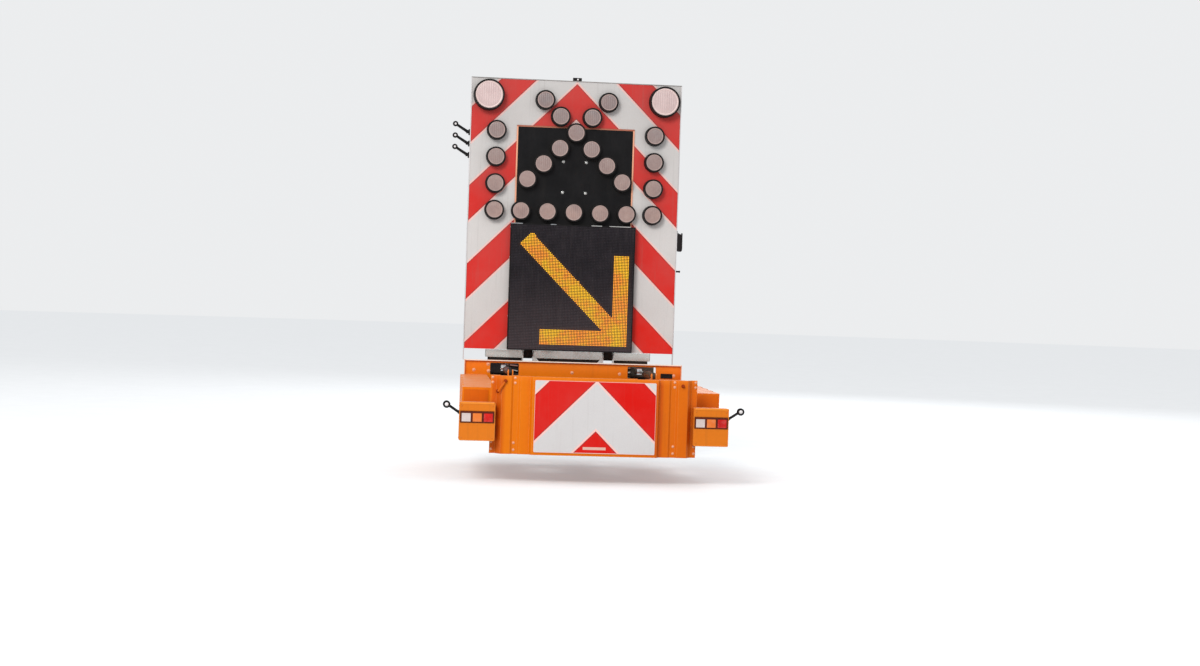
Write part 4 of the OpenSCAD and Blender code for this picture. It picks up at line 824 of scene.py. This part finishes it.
# Grip of the latch, with two prongs at its top and ridges on its face
outline = [(0.0035, -0.095), (0.012, -0.109), (0.046, -0.111), (0.055, -0.103), (0.058, -0.087),
           (0.058, 0.081), (0.048, 0.085), (0.0455, 0.038), (0.025, 0.029), (0.019, 0.038), (0.017, 0.085),
           (0.0035, 0.081)]
n = len(outline)
part.put([(EDGE + out, EDGE_Y + y, LATCH_Z + up) for y in (-0.02, 0.02) for out, up in outline],
         [range(n), range(n, 2 * n)] + [[i, (i + 1) % n, n + (i + 1) % n, n + i] for i in range(n)])
for k in range(5):
    z = LATCH_Z - 0.0805 + 0.019 * k
    part.block((EDGE + 0.0575, EDGE_Y - 0.017, z), (EDGE + 0.0605, EDGE_Y + 0.017, z + 0.007), 0.001)
part.make("side_latch_grip", "board", "lamp_black", LATCH_BLACK)

part.lathe((EDGE - 0.0005, -0.128, 1.187), (1, 0, 0),
           [(0.0125, 0), (0.0125, 0.005), (0.0088, 0.007), (0.0088, 0.036), (0.0115, 0.037), (0.0115, 0.044),
            (0.008, 0.047), (0, 0.047)], 14)
part.make("side_stop_pin", "board", "lamp_black", LAMP_BLACK)

# A dark grey strip along the board's top edge
half = EDGE - 0.0005
part.block((-half, EDGE_FRONT - 0.0015, EDGE_TOP - 0.0075),
           (half, EDGE_FRONT + 0.0008, EDGE_TOP - 0.0002), 0.0008)
part.make("board_top_dark_strip", "board", "grey_steel", TOP_STRIP_GREY)


# Back of the board: rivets, bolts, lamp covers, cable channels and the display's control box

for z in BARS:
    for i in range(-10, 11):
        if abs(abs(i * 0.1) - UPRIGHT) > 0.06:
            part.lathe((i * 0.1, BAR_BACK - 0.0005, z), FORE,
                       [(0.0065, 0), (0.006, 0.0022), (0.0035, 0.0036), (0, 0.004)], 10)
for s in SIDES:
    for k in range(19):
        at = (s * (EDGE - 0.0005), EDGE_Y, 0.4 + 0.145 * k)
        part.lathe(at, (s, 0, 0), [(0.0055, 0), (0.005, 0.002), (0, 0.003)], 10)
part.make("board_rivets", "board", "aluminium", MILL)

for s in SIDES:
    for z in BARS[1:]:
        for u in (-0.022, 0.022):
            part.bolt((s * UPRIGHT + u, UPRIGHT_BACK, z + u * 0.6), FORE, 0.0085, 0.007)
    for z in (0.42, 0.5, 0.57):
        part.bolt((s * UPRIGHT, UPRIGHT_BACK - 0.0002, z), FORE, 0.01, 0.008)
part.make("board_back_bolts", "board", "pin_steel", BRIGHT)

SEATED = SHEET_BACK - 0.0005
for x, z in ARROW_LAMPS:
    if all(abs(z - b) > 0.085 for b in BARS):
        part.lathe((x, SEATED, z), FORE,
                   [(0.05, 0), (0.05, 0.012), (0.044, 0.028), (0.036, 0.033), (0, 0.033)], 24)
        part.bolt((x, SEATED + 0.0325, z), FORE, 0.006, 0.004, 0)
for x, z in FLASHERS:
    part.lathe((x, SEATED, z - 0.02), FORE,
               [(0.062, 0), (0.062, 0.014), (0.055, 0.032), (0.046, 0.036), (0, 0.036)], 28)
part.make("lamp_back_covers", "board", "lamp_black", LAMP_BLACK)

for a, b in ((0.385, 1.218), (1.282, 2.118), (2.182, 3.018)):
    part.block((-0.185, SEATED, a), (-0.145, SEATED + 0.0285, b), 0.003)
    for z in (a + 0.09, b - 0.09):
        part.bolt((-0.165, SEATED + 0.0282, z), FORE, 0.0045, 0.003, 0, True)
part.make("back_cable_channel", "board", "aluminium", MILL)

left, right, low, top, lid = 0.02, 0.3, 0.52, 0.86, -0.062
part.block((left, SEATED, low), (right, lid, top), 0.008)
part.block((left - 0.006, lid - 0.0045, low - 0.006), (right + 0.006, lid + 0.004, top + 0.006), 0.003)
part.slot = 1
for x in (left + 0.016, right - 0.016):
    for z in (low + 0.016, top - 0.016):
        part.bolt((x, lid + 0.0035, z), FORE, 0.0065, 0.004, 1.3)
for x in (left + 0.06, left + 0.12):
    part.lathe((x, -0.105, low + 0.0005), (0, 0, -1),
               [(0.014, 0), (0.014, 0.012), (0.011, 0.014), (0.011, 0.022), (0.007, 0.024), (0, 0.024)], 6)
for z in (low + 0.08, top - 0.08):
    part.tube([(right + 0.01, lid, z - 0.02), (right + 0.01, lid, z + 0.02)], 0.006, 10)
part.make("display_control_box", "board", "display_black", BLACK_BOX, BRIGHT)


# Cushion

on_rear, on_front = surface("rear_plate"), surface("front_plate")

for s in SIDES:
    for x in (0.733, 0.934):
        for z in (0.134, 0.089, -0.456, -0.52):
            at, way = on_rear(s * x, z)
            part.bolt(at - way * 0.0005, way, 0.0088, 0.0075, 1.4, True)
for x, z, r in ((-1.01, 0.12, 0.0115), (-0.013, 0.118, 0.0105), (0.473, 0.118, 0.0105),
                (-1.01, -0.47, 0.0115), (1.01, -0.47, 0.0115), (1.03, 0.114, 0.0105),
                (-0.867, 0.181, 0.0115), (-0.861, 0.113, 0.0115)):
    at, way = on_front(x, z)
    part.bolt(at - way * 0.0005, way, r, 0.009, 1.5, True)
part.make("plate_bolts", "cushion", "orange_steel", PALE_PAINT_AND_EDGE_HIGHLIGHT)

# Locking lever on the left wing and its catch on the right one
at, way = on_rear(-0.822, 0.105)
end = Vector((-0.888, at.y, 0.009))
for spot in (at, end):
    foot, _ = on_rear(spot.x, spot.z)
    part.lathe(foot - way * 0.001, way,
               [(0.0165, 0), (0.0165, 0.006), (0.013, 0.012), (0.013, 0.02), (0.009, 0.026), (0, 0.027)], 20)
rise = Vector((0, -0.012, 0))
part.slot = 1
part.tube([at + rise, at.lerp(end, 0.3) + rise * 1.2, at.lerp(end, 0.7) + rise * 1.2, end + rise],
          [0.009, 0.0105, 0.0105, 0.009], 10)
part.slot = 0
at, way = on_rear(0.807, 0.102)
part.lathe(at - way * 0.001, way,
           [(0.016, 0), (0.016, 0.005), (0.0125, 0.008), (0.0125, 0.02), (0.009, 0.025), (0, 0.026)], 20)
part.make("lock_lever", "cushion", "lens_red", LEVER_PAINT, ORANGE_DEEP)

# Pale strips along the front plate's top and ends, a painted highlight; darker panels on the beams' ends,
# painted shade; and a rubber rest
top = PLATE_TOP + 0.0005
part.block((-PLATE_HALF, PLATE_REAR - 0.0025, top - 0.01), (PLATE_HALF, PLATE_REAR + 0.0005, top), 0.001)
part.slot = 1
part.twins((PLATE_HALF - 0.0005, PLATE_REAR - 0.0015, 0.0745), (PLATE_HALF + 0.0075, -0.692, top), 0.0015)
part.make("front_plate_edge_highlights", "cushion", "orange_steel", TOP_EDGE_HIGHLIGHT, PALE_PAINT_AND_EDGE_HIGHLIGHT)

# Deep orange panels on the beams' rear ends: painted shade.
part.twins((0.958, BEAM_REAR - 0.0035, -0.385), (1.182, BEAM_REAR + 0.0005, 0.006), 0.0015)
part.make("beam_end_shade_panels", "cushion", "orange_steel", ORANGE_DEEP)

part.block((0.895, -0.7125, 0.085), (1.015, -0.7045, 0.133), 0.0025)
for k in range(5):
    part.block((0.905 + 0.0225 * k, -0.715, 0.09), (0.915 + 0.0225 * k, -0.712, 0.128), 0.001)
part.make("front_plate_rest", "cushion", "black_rubber", RUBBER)

# Frames and ribbed covers of the rear lamps
LAMP_LOW, LAMP_TOP, LAMP_Z, LAMP_STEP = -0.2685, -0.193, -0.2308, 0.1
front, back = BOX_REAR - 0.0075, BOX_REAR + 0.0055
for mid in (-BOX_X, BOX_X):
    for low, top in ((LAMP_TOP, LAMP_TOP + 0.0165), (LAMP_LOW - 0.009, LAMP_LOW)):
        part.block((mid - 0.1535, front, low), (mid + 0.1535, back, top), 0.0015)
    for u, w in ((-0.1475, 0.006), (-0.05, 0.0095), (0.05, 0.0095), (0.1475, 0.006)):
        part.block((mid + u - w, front + 0.0003, LAMP_LOW - 0.001),
                   (mid + u + w, back, LAMP_TOP + 0.001), 0.0012)
part.make("rear_lamp_frames", "cushion", "lens_red", LENS_FRAME)
for k, name, material, slot in ((-1, "lenses_white", CLEAR_LENS, "lens_white"),
                                (0, "lenses_amber", AMBER_LENS, "lens_amber"),
                                (1, "lenses_red", RED_LENS, "lens_red")):
    for mid in (-BOX_X, BOX_X):
        part.lens((mid + LAMP_STEP * k, BOX_REAR - 0.0055, LAMP_Z), 0.0095, 0.0094, 0.0012, 0.0408, 0.001, 10,
                  square=True)
    part.make(name + "_covers", "cushion", slot, material, replaces=name)

MARKER, MARKER_REAR, MARKER_Z = 1.35, -2.8165, -0.12
for x in (-MARKER, MARKER):
    part.lathe((x, MARKER_REAR, MARKER_Z), REAR,
               [(0.0168, -0.001), (0.0168, 0.0035), (0.0135, 0.0075), (0.0075, 0.0098), (0, 0.0105)], 24)
part.make("marker_lens_covers", "cushion", "lens_white", MARKER_LENS, replaces="marker_lenses")

# Lighter strips on the lamp boxes' lid edges and sides, a painted highlight, and the lid screws
front, back = BOX_REAR - 0.0025, BOX_REAR + 0.001
for low, top in ((-0.11, -0.0935), (-0.4405, -0.4335)):
    part.twins((BOX_IN + 0.01, front, low), (BOX_OUT - 0.01, back, top), 0.001)
for s in SIDES:
    a, b = sorted((s * BOX_IN, s * BOX_OUT))
    part.block((b - 0.0065, front, -0.43), (b - 0.0005, back, -0.106), 0.001)
    for x in (a + 0.022, b - 0.022):
        for z in (-0.126, -0.415):
            screws.bolt((x, BOX_REAR + 0.0005, z), REAR, 0.005, 0.003, 1.3, True)
    for y in (BOX_REAR + 0.02, BOX_REAR + 0.08):
        for z in (-0.13, -0.42):
            screws.bolt((s * (BOX_OUT - 0.0005), y, z), (s, 0, 0), 0.005, 0.003, 1.3, True)
part.make("lamp_box_edge_highlights", "cushion", "orange_steel", BOX_EDGE_HIGHLIGHT)
screws.make("lamp_box_screws", "cushion", "orange_steel", BOX_PAINT)


# Weld beads, in the paint of what they join

# On the cushion: beams and lugs at the front plate, then the cross plates and the absorber tubes
part.welds("z", -0.41, 0.068, ((0.88, -0.706), (1.1, -0.704)), 0.0045)
part.welds("x", 0.88, 1.098, [(-0.706, 0.0725)], 0.0045)
part.welds("z", -0.072, 0.072, [(x, -0.6895) for x in (0.488, 0.503, 0.617, 0.632)])
part.welds("x", 0.8, 0.5, ((-1.607, -0.4), (-1.607, -0.03)))
part.welds("z", -0.395, -0.035, ((0.879, -1.592), (0.879, -1.607)), 0.004)
part.welds("z", -0.36, -0.07, [(x, y) for x in (0.15, 0.45) for y in (-0.7065, -1.5905, -1.6085)])
part.make("cushion_welds", "cushion", "orange_steel", ORANGE_PAINT)

# On the base: the arms at the mounting plate, anchor arms, plates under the arms, and the cross beam
seam = MOUNT_REAR - 0.0005
part.welds("x", 0.515, 0.605, ((seam, -0.075), (seam, 0.075)), 0.0045)
part.welds("z", -0.07, 0.07, ((0.51, seam), (0.61, seam)), 0.0045)
part.welds("z", 0.085, 0.18, ((0.655, -0.1455), (0.67, -0.1455)))
part.welds("y", -0.03, -0.31, ((0.55, -0.0755), (0.57, -0.0755)))
part.welds("x", -0.6, 0.6, ((seam, 0.0755), (seam, 0.1895)), 0.0045, sides=(1,))
part.make("base_welds", "base", "grey_steel", FRAME_PAINT)

# A dark web under the hinge beam, put there for the shade line beneath it, and the hard pipes clamped to the
# cross beam
for a, b in ((-0.84, -0.4835), (-0.3565, 0.3565), (0.4835, 0.84)):
    part.block((a, -0.082, 0.1895), (b, -0.074, 0.2355), 0.001)
part.make("hinge_beam_shade_web", "base", "grey_steel", FRAME_PAINT)

pipes, clamps = Shape(), Shape()
for s in SIDES:
    for slot, r, (a, b) in ((0, 0.0075, (0.161, 0.148)), (1, 0.009, (0.119, 0.09))):
        pipes.slot = slot
        left, right = Vector((s * 0.652, -0.163, a)), Vector((s * 0.49, -0.163, b))
        bend = right + Vector((-s * 0.012, 0.013, -0.001))
        pipes.tube([left, left.lerp(right, 0.5), right, bend, bend + Vector((-s * 0.001, 0.008, 0))], r, 12)
        for q in (0.2, 0.8):
            at = left.lerp(right, q)
            half = r + 0.003
            clamps.block((at.x - 0.008, -0.172, at.z - half), (at.x + 0.008, -0.1445, at.z + half), 0.002)
pipes.make("pressure_pipes", "base", "grey_steel", PIPE_PAINT, BRIGHT)
clamps.make("pipe_clamps", "base", "black_rubber", RUBBER)

part.welds("y", -0.105, -0.03, [(x, 0.1905) for x in (0.358, 0.370, 0.470, 0.482)])
part.welds("z", 0.24, 0.31, [(x, HINGE_REAR + 0.0005) for x in (0.358, 0.482)])
part.welds("y", -0.095, -0.025, [(x, 0.3145) for x in (0.358, 0.482)])
part.make("hinge_welds", "base", "galvanised", ZINC_BRIGHT)

# Nuts at the pivots, and the caps on the hinge beam's ends
BEAM_HALF = span("hinge_beam", "x")[1]
for s in SIDES:
    for x, y, z, r in ((0.488, -0.06, 0.275, 0.0175), (0.6385, -0.5, 0.0, 0.024)):
        part.lathe((s * x, y, z), (s, 0, 0), [(r, 0), (r, 0.009), (r * 0.86, 0.011), (r * 0.55, 0.011),
                                              (r * 0.5, 0.015), (0, 0.016)], 6)
part.twins((BEAM_HALF, -0.098, 0.237), (BEAM_HALF + 0.004, -0.022, 0.313), 0.0015)
part.make("pivot_nuts", "base", "pin_steel", STEEL)

# Wiper rings and gland bolts of the hydraulic cylinders
BARREL, BARREL_Z, GLAND, GLAND_R = 0.7, 0.14, -1.05, 0.029
for side, body, x in (("left", "barrel_l", -BARREL), ("right", "barrel_r", BARREL)):
    part.lathe((x, GLAND, BARREL_Z), FORE,
               [(0.0185, -0.001), (0.033, -0.001), (0.033, 0.004), (0.024, 0.011), (0.0185, 0.012)], 28)
    part.slot = 1
    for k in range(4):
        a = math.pi / 4 + k * math.pi / 2
        at = (x + GLAND_R * math.cos(a), GLAND + 0.0025, BARREL_Z + GLAND_R * math.sin(a))
        part.bolt(at, FORE, 0.004, 0.004, 0)
    part.make("gland_" + side, body, "grey_steel", BARREL_PAINT, BRIGHT)


# Floor, background and lights

PALE_FLOOR = (0.9, 0.905, 0.91)


def make_floor(n=96, reach=90.0):
    """A wide disc of pale floor, brighter to the camera than to the light that falls back on the object."""
    mesh = bpy.data.meshes.new("floor")
    turns = [2 * math.pi * i / n for i in range(n)]
    rim = [(reach * math.cos(a), reach * math.sin(a), GROUND) for a in turns]
    mesh.from_pydata([(0, 0, GROUND)] + rim, [], [[0, i + 1, (i + 1) % n + 1] for i in range(n)])
    floor = bpy.data.objects.new("floor", mesh)
    scene.collection.objects.link(floor)
    t = Tree("floor")
    grain = t.step(t.noise(3.0, 6.0, 0.7), 0.3, 0.7)
    shown = t.n("BsdfDiffuse", {"Color": t.mix(grain, PALE_FLOOR, (0.92, 0.925, 0.93))}).outputs[0]
    lift = t.n("Emission", {"Color": lin(PALE_FLOOR), "Strength": 0.22}).outputs[0]
    bright = t.n("AddShader", {0: shown, 1: lift}).outputs[0]
    plain = t.n("BsdfDiffuse", {"Color": lin((0.74, 0.745, 0.75))}).outputs[0]
    mesh.materials.append(t.close("Material", t.n("MixShader", {0: t.seen(), 1: plain, 2: bright})))
    floor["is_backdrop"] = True


def make_world():
    """Soft light from all round, in front of a pale background."""
    scene.world = bpy.data.worlds.new("studio")
    t = Tree("studio", scene.world)
    fill = t.n("Background", {0: (0.97, 0.985, 1.0, 1), 1: 0.78}).outputs[0]
    pale = t.n("Background", {0: lin((0.925, 0.93, 0.935)), 1: 1.0}).outputs[0]
    t.close("World", t.n("MixShader", {0: t.seen(), 1: fill, 2: pale}))


def lamp(name, at, size, power, colour, aim=(0, -1.0, 1.0)):
    light = bpy.data.lights.new(name, "AREA")
    light.shape, light.size, light.energy, light.color = "DISK", size, power, colour
    obj = bpy.data.objects.new(name, light)
    scene.collection.objects.link(obj)
    obj.location = at
    obj.rotation_mode = "QUATERNION"
    obj.rotation_quaternion = (Vector(aim) - Vector(at)).to_track_quat("-Z", "Y")


make_floor()
make_world()
lamp("key", (-7.0, -15.0, 10.0), 7.0, 1750, (1.0, 0.985, 0.96))
lamp("back", (6.0, 12.0, 9.0), 8.0, 700, (0.96, 0.98, 1.0))

low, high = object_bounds()
